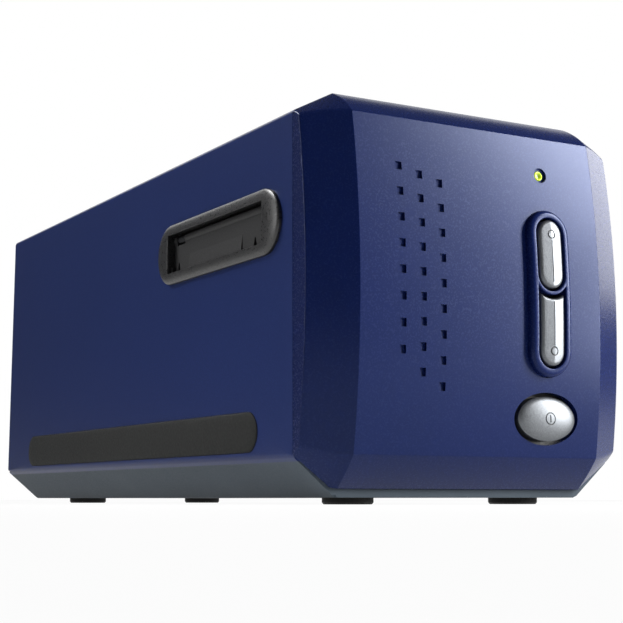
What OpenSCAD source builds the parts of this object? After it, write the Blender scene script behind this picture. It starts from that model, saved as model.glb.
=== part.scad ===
// Desktop scanner for 35 mm film negatives and mounted slides.
// A film holder is pushed across the box, in at one side slot and out at the other. A lamp above the
// film shines through it onto a mirror, and a lens throws one line of it onto a line sensor. Lamp,
// mirror, lens and sensor ride together on a carriage, which a stepper motor draws along Y.
//
// Millimetres. Z is up, X is to the right seen from the front, Y runs from the front to the rear.
// The origin lies on the table, under the centre of the box. Inside the modules Y is counted from
// the seam between the front bezel and the housing.

/* [Body] */
// Width of the body across its flat side walls
body_w = 116.2; // [112:0.1:122]
// Height of the body above its feet
body_h = 119.8; // [117:0.1:124]
// Length of the housing from the bezel seam to the rear face
body_l = 252.9; // [250:0.1:262]
// Wall of the moulded covers
wall = 2.4; // [2:0.1:2.6]
// Height of the rubber feet below the base
foot_h = 2; // [1.5:0.1:3]

/* [Long corner cuts] */
// Width of the cuts along the upper corners
top_cut_w = 13.7; // [10:0.1:15]
// Height of the cuts along the upper corners
top_cut_h = 7.2; // [5:0.1:9]
// Width of the cuts along the lower corners
bottom_cut_w = 13.7; // [12:0.1:15]
// Height of the cuts along the lower corners
bottom_cut_h = 11.5; // [10:0.1:12.5]
// Drop from the lower side corner to the join of housing and base
join_drop = 1.4; // [1:0.1:2]

/* [Front bezel] */
// How far the front panel stands out in front of the seam
bulge = 15; // [14:0.1:17]
// Radius of the front panel's upright curve
bulge_r = 310; // [290:1:340]
// Height of the most forward line of the front panel
bulge_z = 65.5; // [60:0.5:70]
// Width of the sloping faces left and right of the front panel
cheek_w = 13.7; // [12:0.1:15]
// Depth of those sloping faces
cheek_d = 7.5; // [6.5:0.1:8.5]
// Height of the front panel's upper edge
panel_top = 113.9; // [111:0.1:116]
// Height of the front panel's lower edge
panel_bottom = 14; // [12:0.1:15]
// Strip of the base that shows below the bezel
base_strip = 1.2; // [0.8:0.1:1.6]

/* [Dimple field] */
// Width of one square dimple
dimple_w = 2.2; // [1.6:0.1:2.6]
// Height of one square dimple
dimple_h = 2.5; // [1.8:0.1:3]
// Depth of the dimples
dimple_depth = 0.8; // [0.4:0.1:1.2]

/* [Buttons] */
// Distance of the button column to the right of the centre
button_x = 23.7; // [20:0.1:26]
// Centre height of the button bank
bank_z = 64; // [62:0.1:68]
// Width of the raised surround of the button bank
bank_w = 15.6; // [15:0.1:17]
// Height of the raised surround
bank_h = 51.8; // [50:0.1:54]
// How far the surround stands out of the front panel
bank_proud = 2.3; // [1.5:0.1:3]
// Radius of the surround's rounded shoulder
bank_round = 1.5; // [0.5:0.1:1.6]
// Width of the two scan buttons
key_w = 8.9; // [8.6:0.1:9.6]
// Play around a button in its hole
key_gap = 0.85; // [0.5:0.05:0.9]
// Centre height of the power button
power_z = 25.6; // [25:0.1:27]
// Width of the oval power button
power_w = 21.8; // [20:0.1:23]
// Height of the oval power button
power_h = 13.4; // [12:0.1:14]
// Travel of every button
key_travel = 0.8; // [0.4:0.1:1]
// Height of the indicator light
lamp_z = 101.5; // [99:0.1:103]

/* [Film slots] */
// Distance of the slot centre behind the seam
slot_y = 49.8; // [49:0.1:52]
// Centre height of the film slots
slot_z = 83.7; // [83:0.1:85]
// Length of the slot frames
frame_l = 86.9; // [84:0.1:90]
// Height of the slot frames
frame_h = 20.4; // [19:0.1:22]
// How far the slot frames stand out of the side walls
frame_proud = 2; // [1.6:0.1:2.4]
// Length of the slot opening
slot_l = 67.6; // [66:0.1:69]
// Height of the slot opening
slot_h = 13.1; // [12.6:0.1:13.5]
// Depth of the dust doors behind the frame's rim
door_recess = 2.8; // [2.4:0.1:4]

/* [Grip pads and feet] */
// Length of the rubber grip pads
pad_l = 204.9; // [190:0.1:208]
// Height of the grip pads
pad_h = 12.3; // [11:0.1:13]
// Distance of the pad centres behind the seam
pad_y = 123.6; // [120:0.1:126]
// Centre height of the pads
pad_z = 21.3; // [20.5:0.1:22]
// Diameter of the feet
foot_d = 15.5; // [13:0.1:16]

/* [Carriage] */
// Height of the optical axis
axis_z = 55; // [54:0.5:56]
// Travel of the carriage along the film frame
scan_travel = 27; // [24:0.5:27]
// Radius of the two guide rods
rod_r = 2.5; // [2:0.1:2.5]
// Radius of the lead screw
screw_r = 2; // [1.8:0.1:2.2]
// Advance of the lead screw in one turn
screw_lead = 6; // [4:0.5:8]
// Running clearance of the bearings
play = 0.05; // [0.02:0.01:0.08]

/* [Hidden] */

$fn = 48;
FINE = 96;      // sides of the larger rounds
REACH = 400;    // larger than the whole body
EPS = 0.05;     // overlap that joins two shapes of one moulding

// Colours
BLUE = "#26346f";
FRONT_BLUE = "#2a356b";
BASE_GREY = "#8a979f";
BLACK = "#2b2b2b";
RUBBER = "#3a3a3c";
SILVER = "#b9bdc1";
STEEL = "#c3c6c9";
BRASS = "#c4a35a";
BOARD_GREEN = "#2d6b45";
CHASSIS_BLACK = "#35373a";
GLASS = "#b8d4de";

// Body section
half_w = body_w / 2;
base_z = foot_h;
top_z = foot_h + body_h;
side_low = base_z + bottom_cut_h;
side_high = top_z - top_cut_h;
join_z = side_low - join_drop;
flat_low = half_w - bottom_cut_w;
flat_high = half_w - top_cut_w;
fit = 0.1;      // gap between mouldings that slide into each other

// Front bezel
bezel_low = base_z + base_strip;
panel_half = half_w - cheek_w;
bulge_y = bulge_r - bulge;
mid_z = (base_z + top_z) / 2;

// Buttons
bank_half_gap = key_w / 2 + key_gap;
bank_rim = bank_w / 2 - bank_half_gap;
upper_hole = [65.2 - key_gap, bank_z + bank_h / 2 - bank_rim];
bank_bar = 1.1;
lower_hole_low = bank_z - bank_h / 2 + bank_rim;
key_proud = 2.6;
key_ridge = 0.5;
switch_y = -2.5;           // front face of the button board
switch_body = 3.2;
plunger_y = switch_y - switch_body - 1;
switch_z = [bank_z + 12.4, bank_z - 12, power_z];

// Overall depth, from the ridge of the keys to the rear face
front_y = -(bulge + key_proud + key_ridge);
seam_y = -(body_l + front_y) / 2;

// Slots and doors, in the side wall's own plane: along, up, outwards
door_z = frame_proud - door_recess;
door_t = 1.6;
pivot_up = slot_h / 2 - 1.65;
pivot_z = door_z - 1;
pin_r = 0.75;
barrel_r = 1.5;
collar_t = 1.6;
collar_depth = 6.6;

// Film path and carriage
floor_z = slot_z - slot_h / 2 - 0.15;
guide_half = 34;           // half the width of the holder's channel
guide_t = 2.4;
line_y = slot_y - scan_travel / 2;
tray_half = 28;
tray_wall = 2.5;
tray_low = 40;
tray_high = 68;
tray_front = line_y - 16.5;
tray_rear = 192.5;
rod_x = 24;
rod_z = 31;
screw_x = -10;
screw_z = 25;
gear_module = 0.5;
gear_teeth = 42;
pinion_teeth = 14;
gear_y = [197.5, 202];
motor_x = screw_x + gear_module * (gear_teeth + pinion_teeth) / 2;
motor_y = 204.5;
lens_r = 12;
lens_y = [98, 126];
deck_z = 10.9;             // upper face of the chassis floor
board_z = 86.4;            // lower face of the main board
board_t = 1.6;

// ---------------------------------------------------------------- outlines

function unit(v) = v / norm(v);

// Outward normal of the edge from a to b of an anticlockwise outline
function edge_normal(a, b) = unit([b[1] - a[1], a[0] - b[0]]);

// An anticlockwise outline moved inwards by t
function inset(points, t) =
  let (n = len(points))
  [for (i = [0 : n - 1])
    let (before = edge_normal(points[(i + n - 1) % n], points[i]),
         after = edge_normal(points[i], points[(i + 1) % n]))
    points[i] - t * (before + after) / (1 + before * after)];

// Eight-sided section of the body, seen along Y
function octagon(low) = [
  [-flat_low, low], [flat_low, low], [half_w, side_low], [half_w, side_high],
  [flat_high, top_z], [-flat_high, top_z], [-half_w, side_high], [-half_w, side_low]];

function ellipse(w, h, steps) =
  [for (i = [0 : steps - 1]) [w / 2 * cos(i * 360 / steps), h / 2 * sin(i * 360 / steps)]];

module stadium(w, h) {
  tall = h > w;
  r = min(w, h) / 2;
  run = (tall ? h : w) / 2 - r;
  square(tall ? [w, h - 2 * r] : [w - 2 * r, h], center = true);
  for (s = [-1, 1]) translate(tall ? [0, s * run] : [s * run, 0]) circle(r, $fn = FINE);
}

// ---------------------------------------------------------------- placing

module from_seam() translate([0, seam_y, 0]) children();

// Extrudes an X-Z outline from y0 to y1
module along_y(y0, y1) translate([0, y1, 0]) rotate([90, 0, 0]) linear_extrude(y1 - y0) children();

// Extrudes a Y-Z outline from x0 to x1
module along_x(x0, x1) translate([x0, 0, 0]) rotate([90, 0, 90]) linear_extrude(x1 - x0) children();

module rod_y(x, z, y0, y1, r) translate([x, y0, z]) rotate([-90, 0, 0]) cylinder(y1 - y0, r = r);

module block(x, y, z) translate([x[0], y[0], z[0]]) cube([x[1] - x[0], y[1] - y[0], z[1] - z[0]]);

// Puts children onto a side wall: X runs rearwards, Y upwards and Z outwards there
module on_side(side) mirror([side < 0 ? 1 : 0, 0, 0]) translate([half_w, 0, 0]) rotate([90, 0, 90])
  children();

module on_both_sides() for (side = [-1, 1]) on_side(side) children();

// Hollow body between two insets of the section
module shell_ring(y0, y1, outer, inner, low = base_z) along_y(y0, y1) difference() {
  polygon(inset(octagon(low), outer));
  polygon(inset(octagon(low), inner));
}

module keep_above(z) intersection() {
  children();
  block([-REACH, REACH], [-REACH, REACH], [z, REACH]);
}

module keep_below(z) intersection() {
  children();
  block([-REACH, REACH], [-REACH, REACH], [-REACH, z]);
}

// ---------------------------------------------------------------- front form

// Everything beyond the plane through p with the outward normal n
module beyond(p, n) translate(p) rotate([0, acos(n[2] / norm(n)), atan2(n[1], n[0])])
  translate([-REACH, -REACH, 0]) cube([2 * REACH, 2 * REACH, REACH]);

// Y of a point of the front panel's curve, t inside its face
function panel_y(z, t = 0) = bulge_y - sqrt(pow(bulge_r - t, 2) - pow(z - bulge_z, 2));

// Solid of revolution about the panel's long axis, made from an outline in radius and X
module turned_front(points) translate([0, bulge_y, bulge_z]) rotate([-12, 0, 0]) rotate([0, 90, 0])
  rotate_extrude(angle = 24, start = 258 + 12, $fn = 360) polygon(points);

// Front panel with its two sloping faces, which are carried on past the side walls
module front_drum(t) {
  edge = [bulge_r - 2 * cheek_d, panel_half + 2 * cheek_w];
  turned_front(inset([
    [bulge_r - 60, -edge[1]], [edge[0], -edge[1]], [bulge_r, -panel_half],
    [bulge_r, panel_half], edge, [bulge_r - 60, edge[1]]], t));
}

function facing_out(p, n) = n * (p - [0, 0, mid_z]) < 0 ? -n : n;

// Planes of the bezel's upper, lower and corner facets, as point and outward normal
function facets() =
  let (top = [0, panel_y(panel_top), panel_top],
       low = [0, panel_y(panel_bottom), panel_bottom],
       crown = [0, 0, top_z],
       sill = [0, 0, bezel_low],
       x = [1, 0, 0])
  concat(
    [[crown, facing_out(crown, cross(x, top - crown))], [sill, facing_out(sill, cross(x, low - sill))]],
    [for (s = [-1, 1]) let (a = [s * half_w, 0, side_high], n = cross([s * flat_high, 0, top_z] - a,
      [s * panel_half, 0, 0] + top - a)) [a, facing_out(a, n)]],
    [for (s = [-1, 1]) let (a = [s * half_w, 0, side_low], n = cross([s * flat_low, 0, bezel_low] - a,
      [s * panel_half, 0, 0] + low - a)) [a, facing_out(a, n)]]);

// Solid inside the bezel's outer faces, moved inwards by t, back to y = behind.
// The corner facets lie a little deeper than their corner points and so soften them.
module front_form(t, behind) difference() {
  intersection() {
    front_drum(t);
    along_y(-bulge - 5, behind) polygon(inset(octagon(bezel_low), t));
  }
  for (i = [0 : 5]) let (f = facets()[i], depth = t + (i < 2 ? 0.05 : 0.2))
    beyond(f[0] - depth * unit(f[1]), f[1]);
}

// Layer of the front panel between two depths below its face
module panel_layer(outer, inner) translate([-half_w, bulge_y, bulge_z]) rotate([0, 90, 0]) difference() {
  cylinder(2 * half_w, r = bulge_r - outer, $fn = 360);
  translate([0, 0, -1]) cylinder(2 * half_w + 2, r = bulge_r - inner, $fn = 360);
}

// The part of a front-facing prism that lies in such a layer
module panel_prism(outer, inner) intersection() {
  panel_layer(outer, inner);
  along_y(-bulge - 8, 0) children();
}

// ---------------------------------------------------------------- covers

module lug(x, y) {
  reach = half_w - wall + EPS;
  difference() {
    block([min(x - 4, reach), reach], [y - 4.5, y + 4.5], [14, 22]);
    translate([x, y, 13]) cylinder(8, r = 1.25);
  }
}

lug_x = 40.5;
lug_y = [27, 238];
rear_boss = [36, 110];

module slot_cut() translate([slot_y, slot_z, -wall - 1]) linear_extrude(wall + 2)
  square([slot_l + 2 * collar_t + 0.4, slot_h + 2 * collar_t + 0.4], center = true);

pad_recess = 1.2;

module upper_housing() color(BLUE) from_seam() difference() {
  union() {
    keep_above(join_z) shell_ring(0, body_l, 0, wall);
    for (s = [0, 1], y = lug_y) mirror([s, 0, 0]) lug(lug_x, y);
    for (s = [-1, 1]) {
      rod_y(s * rear_boss[0], rear_boss[1], 240, body_l - wall, 3.4);
      block([s * rear_boss[0] - 1, s * rear_boss[0] + 1], [240, body_l - wall],
            [rear_boss[1], top_z - wall + EPS]);
    }
    // Stiffening ribs under the roof
    for (y = [122 : 32 : 222])
      block([-flat_high, flat_high], [y, y + 1.6], [top_z - wall - 6, top_z - wall + EPS]);
  }
  for (s = [-1, 1]) rod_y(s * rear_boss[0], rear_boss[1], 242, body_l, 1.25);
  on_both_sides() {
    slot_cut();
    translate([pad_y, pad_z, -pad_recess]) linear_extrude(5) stadium(pad_l, pad_h);
  }
}

post_x = 38;
post_y = [42, 214];
foot_places = [[31, 14.5], [27.5, 235.5]];

module base_cover() color(BASE_GREY) from_seam() difference() {
  union() {
    keep_below(join_z) shell_ring(0, body_l, 0, wall);
    // Tongue that reaches up inside the housing
    keep_below(join_z + 3.6) keep_above(join_z - 1.6) shell_ring(34, 230, wall + fit, wall + 1.3);
    keep_below(join_z) keep_above(join_z - 1.6) shell_ring(34, 230, wall - 0.2, wall + 1.3);
    for (s = [-1, 1], y = lug_y) translate([s * lug_x, y, base_z + 1]) cylinder(14 - base_z - 1, r = 4.5);
    for (s = [-1, 1], y = post_y) translate([s * post_x, y, base_z + 1]) cylinder(8.4 - base_z - 1, r = 4);
    // Ribs across the floor
    for (y = [70 : 36 : 190]) block([-36, 36], [y, y + 1.6], [base_z + 1, base_z + wall + 2]);
  }
  for (s = [-1, 1], y = lug_y) translate([s * lug_x, y, base_z - 1]) {
    cylinder(16, r = 1.6);
    cylinder(6, r = 3.2);
  }
  for (s = [-1, 1], y = post_y) translate([s * post_x, y, base_z + 1.4]) cylinder(9, r = 1.25);
  for (s = [-1, 1], p = foot_places) translate([s * p[0], p[1], base_z - 1])
    cylinder(1.8, r = foot_d / 2 + 0.2);
}

// Rows of the dimple field: X, height of the first, pitch and count
dimple_columns = [[-29.7, 98.55, 7.78, 8], [-22.6, 96.55, 7.34, 9], [-15.45, 94.55, 7.58, 9]];

module dimple_cuts() difference() {
  along_y(-bulge - 5, -bulge + 12) for (c = dimple_columns, i = [0 : c[3] - 1])
    translate([c[0], c[1] - i * c[2]]) square([dimple_w, dimple_h], center = true);
  translate([-half_w, bulge_y, bulge_z]) rotate([0, 90, 0])
    cylinder(2 * half_w, r = bulge_r - dimple_depth, $fn = 360);
}

stud_x = [button_x - 12.2, button_x + 13.2];
stud_z = [95, 40];

module front_bezel() color(FRONT_BLUE) from_seam() difference() {
  union() {
    difference() {
      front_form(0, 0);
      front_form(wall, EPS);
    }
    // Lip that centres the bezel inside the housing
    shell_ring(-2, 0, wall - 0.4, wall + 1.3);
    shell_ring(-EPS, 4, wall + fit, wall + 1.3);
    for (x = stud_x, z = stud_z) rod_y(x, z, panel_y(z, wall / 2), switch_y, 2.4);
  }
  dimple_cuts();
  for (x = stud_x, z = stud_z) rod_y(x, z, switch_y - 4, switch_y + 1, 1);
  // Holes of the button bank, the power button and the light
  along_y(-bulge - 5, -6) {
    translate([button_x, bank_z]) stadium(bank_w + 2 * fit, bank_h + 2 * fit);
    translate([button_x, power_z]) polygon(ellipse(power_w + 2.8, power_h + 2.5, 60));
    translate([button_x, lamp_z]) circle(1.6);
  }
  rod_y(button_x, lamp_z, -bulge - 5, panel_y(lamp_z) + 0.9, 2.4);
}

module rear_panel() color(BLUE) from_seam() difference() {
  union() {
    along_y(body_l - wall, body_l) polygon(inset(octagon(base_z), wall + fit));
    // Ribs on the inner face
    for (x = [-28, 28]) block([x - 0.8, x + 0.8], [body_l - wall - 3, body_l - wall + EPS], [10, 80]);
  }
  for (s = [-1, 1]) {
    rod_y(s * rear_boss[0], rear_boss[1], body_l - wall - 1, body_l + 1, 1.6);
    rod_y(s * rear_boss[0], rear_boss[1], body_l - 1.4, body_l + 1, 2.9);
  }
  along_y(body_l - wall - 1, body_l + 1) {
    translate([usb_x, usb_z]) square([12.4, 11.3], center = true);
    translate([jack_x, jack_z]) circle(4.3, $fn = FINE);
  }
}

module foot(x, y) color(RUBBER) from_seam() translate([x, y, 0]) {
  cylinder(0.6, r1 = foot_d / 2 - 0.5, r2 = foot_d / 2);
  translate([0, 0, 0.6]) cylinder(foot_h + 0.8 - 0.6, r = foot_d / 2);
}

// Pad with the plan of a stadium: its shoulders are turned about the ends and drawn along the middle
module pillow(length, height, back, edge, crown, shoulder) {
  r = height / 2;
  run = length / 2 - r;
  profile = concat([[0, back], [r, back], [r, edge]],
    [for (a = [15 : 15 : 90]) [r - shoulder * (1 - cos(a)), edge + (crown - edge) * sin(a)]],
    [[0, crown]]);
  for (s = [0, 180]) rotate([0, 0, s]) translate([run, 0, 0])
    rotate_extrude(angle = 180, start = -90, $fn = FINE) polygon(profile);
  rotate([90, 0, 90]) translate([0, 0, -run]) linear_extrude(2 * run) {
    polygon(profile);
    mirror([1, 0]) polygon(profile);
  }
}

module grip_pad(side) color(RUBBER) from_seam() on_side(side) translate([pad_y, pad_z, 0])
  pillow(pad_l - 0.2, pad_h - 0.2, -pad_recess, 0.1, 0.7, 4);

// ---------------------------------------------------------------- film slots

module slot_frame(side) color(BLACK) from_seam() on_side(side) translate([slot_y, slot_z, 0])
  difference() {
    union() {
      pillow(frame_l, frame_h, 0, 0.8, frame_proud, 3.4);
      translate([0, 0, -collar_depth]) linear_extrude(collar_depth + EPS)
        square([slot_l + 2 * collar_t, slot_h + 2 * collar_t], center = true);
      // Snap nibs behind the side wall
      for (s = [-1, 1], x = [-20, 20]) translate([x, s * (slot_h / 2 + collar_t), -wall - 0.7])
        rotate([90, 0, 90]) linear_extrude(8, center = true)
          polygon([[-s, -0.9], [s * 0.7, 0.55], [-s, 0.55]]);
    }
    translate([0, 0, -collar_depth - 1]) linear_extrude(collar_depth + frame_proud + 2)
      difference() {
        square([slot_l, slot_h], center = true);
        // Stops for the lower corners of the door, which the next cut keeps to the outer rim
        for (s = [-1, 1]) translate([s * slot_l / 2, -slot_h / 2]) square([2.4, 4.4], center = true);
      }
    translate([0, 0, -collar_depth - 1]) linear_extrude(collar_depth + 1 + door_z + 0.15)
      square([slot_l, slot_h], center = true);
    translate([0, 0, door_z + 1.3]) linear_extrude(5) square([slot_l, slot_h], center = true);
    translate([-slot_l / 2 - collar_t + 0.4, pivot_up, pivot_z]) rotate([0, 90, 0])
      cylinder(slot_l + 2 * collar_t - 0.8, r = pin_r + 0.03);
  }

spring_x = [25.2, 31.4];

module dust_door(side) color(BLACK) from_seam() on_side(side) translate([slot_y, slot_z, 0]) {
  length = slot_l - 0.6;
  low = -slot_h / 2 + 0.3;
  difference() {
    union() {
      translate([-length / 2, low, door_z - door_t]) cube([length, pivot_up - low, door_t]);
      translate([-length / 2, pivot_up, pivot_z]) rotate([0, 90, 0]) cylinder(length, r = barrel_r);
      // Ramp that meets the tip of the film holder
      translate([-16.6, 0, 0]) rotate([90, 0, 90]) linear_extrude(38.5)
        polygon([[low, door_z - EPS], [-0.4, door_z - EPS], [low, door_z + 0.5]]);
    }
    translate([-length / 2 - 1, pivot_up, pivot_z]) rotate([0, 90, 0])
      cylinder(length + 2, r = pin_r + play);
    // Gap in the hinge barrel for the spring
    translate([spring_x[0], pivot_up - barrel_r - 0.4, door_z - 3]) cube([spring_x[1] - spring_x[0], 5, 4]);
    // Notches for the holder's two side rails
    for (x = [-25.2, 30]) translate([x, low, door_z - door_t - 1]) linear_extrude(door_t + 2)
      polygon([[-1.4, -1], [1.4, -1], [0.3, 3.2], [-0.3, 3.2]]);
  }
}

module door_pin(side) color(STEEL) from_seam() on_side(side) translate([slot_y, slot_z, 0])
  translate([-slot_l / 2 - collar_t + 0.5, pivot_up, pivot_z]) rotate([0, 90, 0])
    cylinder(slot_l + 2 * collar_t - 1, r = pin_r);

// Torsion spring: close coils round the hinge pin and a leg that lies on the inside of the door
module door_spring(side) color(STEEL) from_seam() on_side(side) translate([slot_y, slot_z, 0]) {
  wire = 0.22;
  coil_r = 1.2;
  coils = 11;
  translate([spring_x[0] + 0.7, pivot_up, pivot_z]) rotate([0, 90, 0])
    for (i = [0 : coils - 1]) translate([0, 0, i * wire * 1.8])
      rotate_extrude() translate([coil_r, 0]) circle(wire, $fn = 16);
  translate([spring_x[0] + 0.7, pivot_up, door_z - door_t - wire - 0.12]) rotate([90, 0, 0])
    cylinder(7.4, r = wire, $fn = 16);
}

// ---------------------------------------------------------------- buttons

module bank_outline(grow = 0) stadium(bank_w + 2 * grow, bank_h + 2 * grow);

// Stadium hole or key from z0 to z1
module tall_stadium(z0, z1, w) translate([0, (z0 + z1) / 2]) stadium(w, z1 - z0);

// Lower hole: round below, its upper end follows the bar under the upper hole
module lower_hole(grow = 0) difference() {
  tall_stadium(lower_hole_low - grow, upper_hole[0] + 8, 2 * (bank_half_gap + grow));
  translate([0, upper_hole[0] + bank_half_gap])
    circle(bank_half_gap + bank_bar - grow, $fn = FINE);
  translate([-bank_w, upper_hole[0] + bank_half_gap - 1.2]) square([2 * bank_w, 30]);
}

// Half outline of the surround's crown with its rounded shoulder: distance from the centre line, height
function crown_edge(inset) =
  let (shoulder = bank_proud - bank_round, side = bank_w / 2 - inset, round = bank_round - inset)
  concat([[0, -0.5], [side, -0.5]],
    [for (a = [0 : 22.5 : 90]) [side - round * (1 - cos(a)), shoulder + round * sin(a)]],
    [[0, bank_proud - inset]]);

// Its long sides follow the panel's curve, and each round end is turned about the panel's normal there.
// The ends are a hair smaller, so that no two surfaces run into each other at a slant.
module bank_crown() {
  end_up = (bank_h - bank_w) / 2;
  intersection() {
    union() for (s = [-1, 1])
      turned_front([for (p = crown_edge(0.02)) [bulge_r + p[1], button_x + s * p[0]]]);
    along_y(-bulge - 8, 0) translate([button_x, bank_z]) square([2 * bank_w, 2 * end_up + 0.5], center = true);
  }
  for (s = [-1, 1]) let (z = bank_z + s * end_up)
    translate([button_x, panel_y(z), z]) rotate([90 + asin((bulge_z - z) / bulge_r), 0, 0])
      rotate([0, 0, s > 0 ? 0 : 180]) rotate_extrude(angle = 180, $fn = FINE) polygon(crown_edge(0.08));
}

module button_surround() color(FRONT_BLUE) from_seam() difference() {
  union() {
    panel_prism(bank_round - bank_proud, wall + 1.6) translate([button_x, bank_z]) bank_outline();
    bank_crown();
    panel_prism(wall + 0.02, wall + 1.6) translate([button_x, bank_z]) bank_outline(1.8);
  }
  along_y(-bulge - 8, 0) translate([button_x, 0]) {
    tall_stadium(upper_hole[0], upper_hole[1], 2 * bank_half_gap);
    lower_hole();
  }
}

// Roof-shaped face of the keys, with its ridge on the key's centre line
module key_face(back) turned_front([
  [bulge_r - back, button_x - 8], [bulge_r + key_proud - 0.5, button_x - 8],
  [bulge_r + key_proud + key_ridge, button_x], [bulge_r + key_proud - 0.5, button_x + 8],
  [bulge_r - back, button_x + 8]]);

// A key: cap, flange behind the surround and stem that ends at the switch
module key(z, ring_z, line) color(SILVER) from_seam() {
  flange = wall + 1.6 + 0.15;
  difference() {
    union() {
      intersection() {
        key_face(flange + 1);
        along_y(-bulge - 8, 0) translate([button_x, 0]) children(0);
      }
      panel_prism(flange, flange + 1) translate([button_x, 0]) children(1);
      rod_y(button_x, z, -bulge + 3, plunger_y, 2.2);
    }
    // Engraved ring and line
    intersection() {
      panel_layer(-key_proud - 2, -key_proud - key_ridge + 0.45);
      along_y(-bulge - 8, 0) translate([button_x, 0]) {
        translate([0, ring_z]) difference() {
          circle(1.5);
          circle(1.05);
        }
        translate([-0.15, line[0]]) square([0.3, line[1] - line[0]]);
      }
    }
  }
}

upper_key = [upper_hole[0] + key_gap, upper_hole[1] - key_gap];
lower_key_low = lower_hole_low + key_gap;

module upper_scan_button() key(switch_z[0], upper_key[1] - 4.5,
                               [upper_key[0] - 2, upper_key[1] - 6.2]) {
  tall_stadium(upper_key[0], upper_key[1], key_w);
  tall_stadium(upper_key[0] - 0.9, upper_key[1] + 1.2, key_w + 3);
}

module lower_scan_button() key(switch_z[1], lower_key_low + 4.5,
                               [lower_key_low + 6.2, upper_hole[0]]) {
  difference() {
    lower_hole(-key_gap);
    translate([0, upper_hole[0] + bank_half_gap]) circle(bank_half_gap + bank_bar + 1.2, $fn = FINE);
  }
  difference() {
    lower_hole(1.2);
    translate([-10, upper_key[0] - 1.3]) square([20, 20]);
  }
}

// Domed oval cap on a flange, with an engraved on-off mark: a ring and an upright bar
module power_button() color(SILVER) from_seam() {
  face_y = panel_y(power_z);
  flange_y = face_y + wall + 1.4;
  crown = 2.1;
  edge = 0.4;
  long_r = (pow(power_w / 2, 2) + pow(crown - edge, 2)) / (2 * (crown - edge));
  short_r = (pow(power_h / 2, 2) + pow(crown - edge, 2)) / (2 * (crown - edge));
  difference() {
    intersection() {
      along_y(face_y - crown - 1, flange_y + 0.5)
        translate([button_x, power_z]) polygon(ellipse(power_w, power_h, 60));
      // Barrel whose side is the dome
      translate([button_x, face_y - crown + short_r, power_z]) rotate([0, 90, 0])
        rotate_extrude($fn = FINE) polygon(concat([[1, -13]],
          [for (x = [-13 : 2 : 13]) [short_r - long_r + sqrt(long_r * long_r - x * x), x]], [[1, 13]]));
    }
    along_y(face_y - 4, face_y - crown + 0.45) translate([button_x, power_z]) {
      difference() {
        circle(1.95);
        circle(1.5);
      }
      translate([-0.2, -1.15]) square([0.4, 2.3]);
    }
  }
  along_y(flange_y, flange_y + 1)
    translate([button_x, power_z]) polygon(ellipse(power_w + 5.4, power_h + 3.4, 60));
  rod_y(button_x, power_z, flange_y + 0.5, plunger_y, 2.2);
}

module plunger(z) color(BLACK) from_seam() rod_y(button_x, z, plunger_y, switch_y - switch_body + 0.3, 1.6);

module tact_switches() color(STEEL) from_seam() for (z = switch_z) difference() {
  block([button_x - 3, button_x + 3], [switch_y - switch_body, switch_y], [z - 3, z + 3]);
  rod_y(button_x, z, switch_y - switch_body - 1, switch_y - switch_body + 1.5, 1.68);
}

module indicator_lens() color("#8fd24a") from_seam() {
  back = switch_y - 3.3;
  rod_y(button_x, lamp_z, panel_y(lamp_z) + 0.5, back, 1.5);
  translate([button_x, panel_y(lamp_z) + 0.5, lamp_z]) intersection() {
    sphere(1.5);
    block([-2, 2], [-2, EPS], [-2, 2]);
  }
  rod_y(button_x, lamp_z, panel_y(lamp_z, wall) + 0.3, panel_y(lamp_z, wall) + 1.3, 2.3);
}

module indicator_lamp() color("#dfe9d2") from_seam() {
  block([button_x - 1.6, button_x + 1.6], [switch_y - 1.2, switch_y], [lamp_z - 1.2, lamp_z + 1.2]);
  rod_y(button_x, lamp_z, switch_y - 3, switch_y - 1, 1.1);
}

module button_board() color(BOARD_GREEN) from_seam() difference() {
  block([stud_x[0] - 3.4, stud_x[1] + 3.4], [switch_y, switch_y + 1.6], [17, 109]);
  for (x = stud_x, z = stud_z) rod_y(x, z, switch_y - 1, switch_y + 3, 1.3);
}

// ---------------------------------------------------------------- inner frame

rail_y = [slot_y - guide_half - guide_t, slot_y + guide_half + guide_t];
frame_x = [45, 47.5];
guide_low = floor_z - 4;

module chassis() color(CHASSIS_BLACK) from_seam() difference() {
  union() {
    // Floor
    translate([0, 0, 8.4]) linear_extrude(deck_z - 8.4)
      polygon([[-34, 12], [34, 12], [34, 34], [frame_x[1], 34], [frame_x[1], 230.5],
               [-frame_x[1], 230.5], [-frame_x[1], 34], [-34, 34]]);
    // Cross walls that hold the guide rods
    block([-34, 34], [12, 14.5], [deck_z - EPS, 38]);
    block([-frame_x[1], frame_x[1]], [228, 230.5], [deck_z - EPS, 38]);
    // Side walls, high under the film guide
    for (s = [0, 1]) mirror([s, 0, 0]) along_x(frame_x[0], frame_x[1]) difference() {
      polygon([[34, 8.4], [230.5, 8.4], [230.5, 34], [104, 34], [rail_y[1], guide_low], [34, guide_low]]);
      translate([44, 20]) square([32, 24]);
      translate([110, 16]) square([40, 11]);
      translate([166, 16]) square([40, 11]);
    }
    // Posts of the main board
    for (s = [-1, 1], y = [140, 222])
      block([s * 46 - 2.5, s * 46 + 2.5], [y - 3, y + 3], [deck_z - EPS, board_z]);
    // Front bearing of the lead screw
    block([screw_x - 6, screw_x + 6], [134, 138], [deck_z - EPS, screw_z + 5]);
  }
  for (s = [-1, 1], y = post_y) translate([s * post_x, y, 7]) cylinder(5, r = 1.6);
  for (s = [-1, 1]) rod_y(s * rod_x, rod_z, 11, 232, rod_r + 0.03);
  rod_y(screw_x, screw_z, 133, 139, screw_r + play);
  for (s = [-1, 1], y = [140, 222]) translate([s * 46, y, board_z - 8]) cylinder(9, r = 1.25);
}

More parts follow.
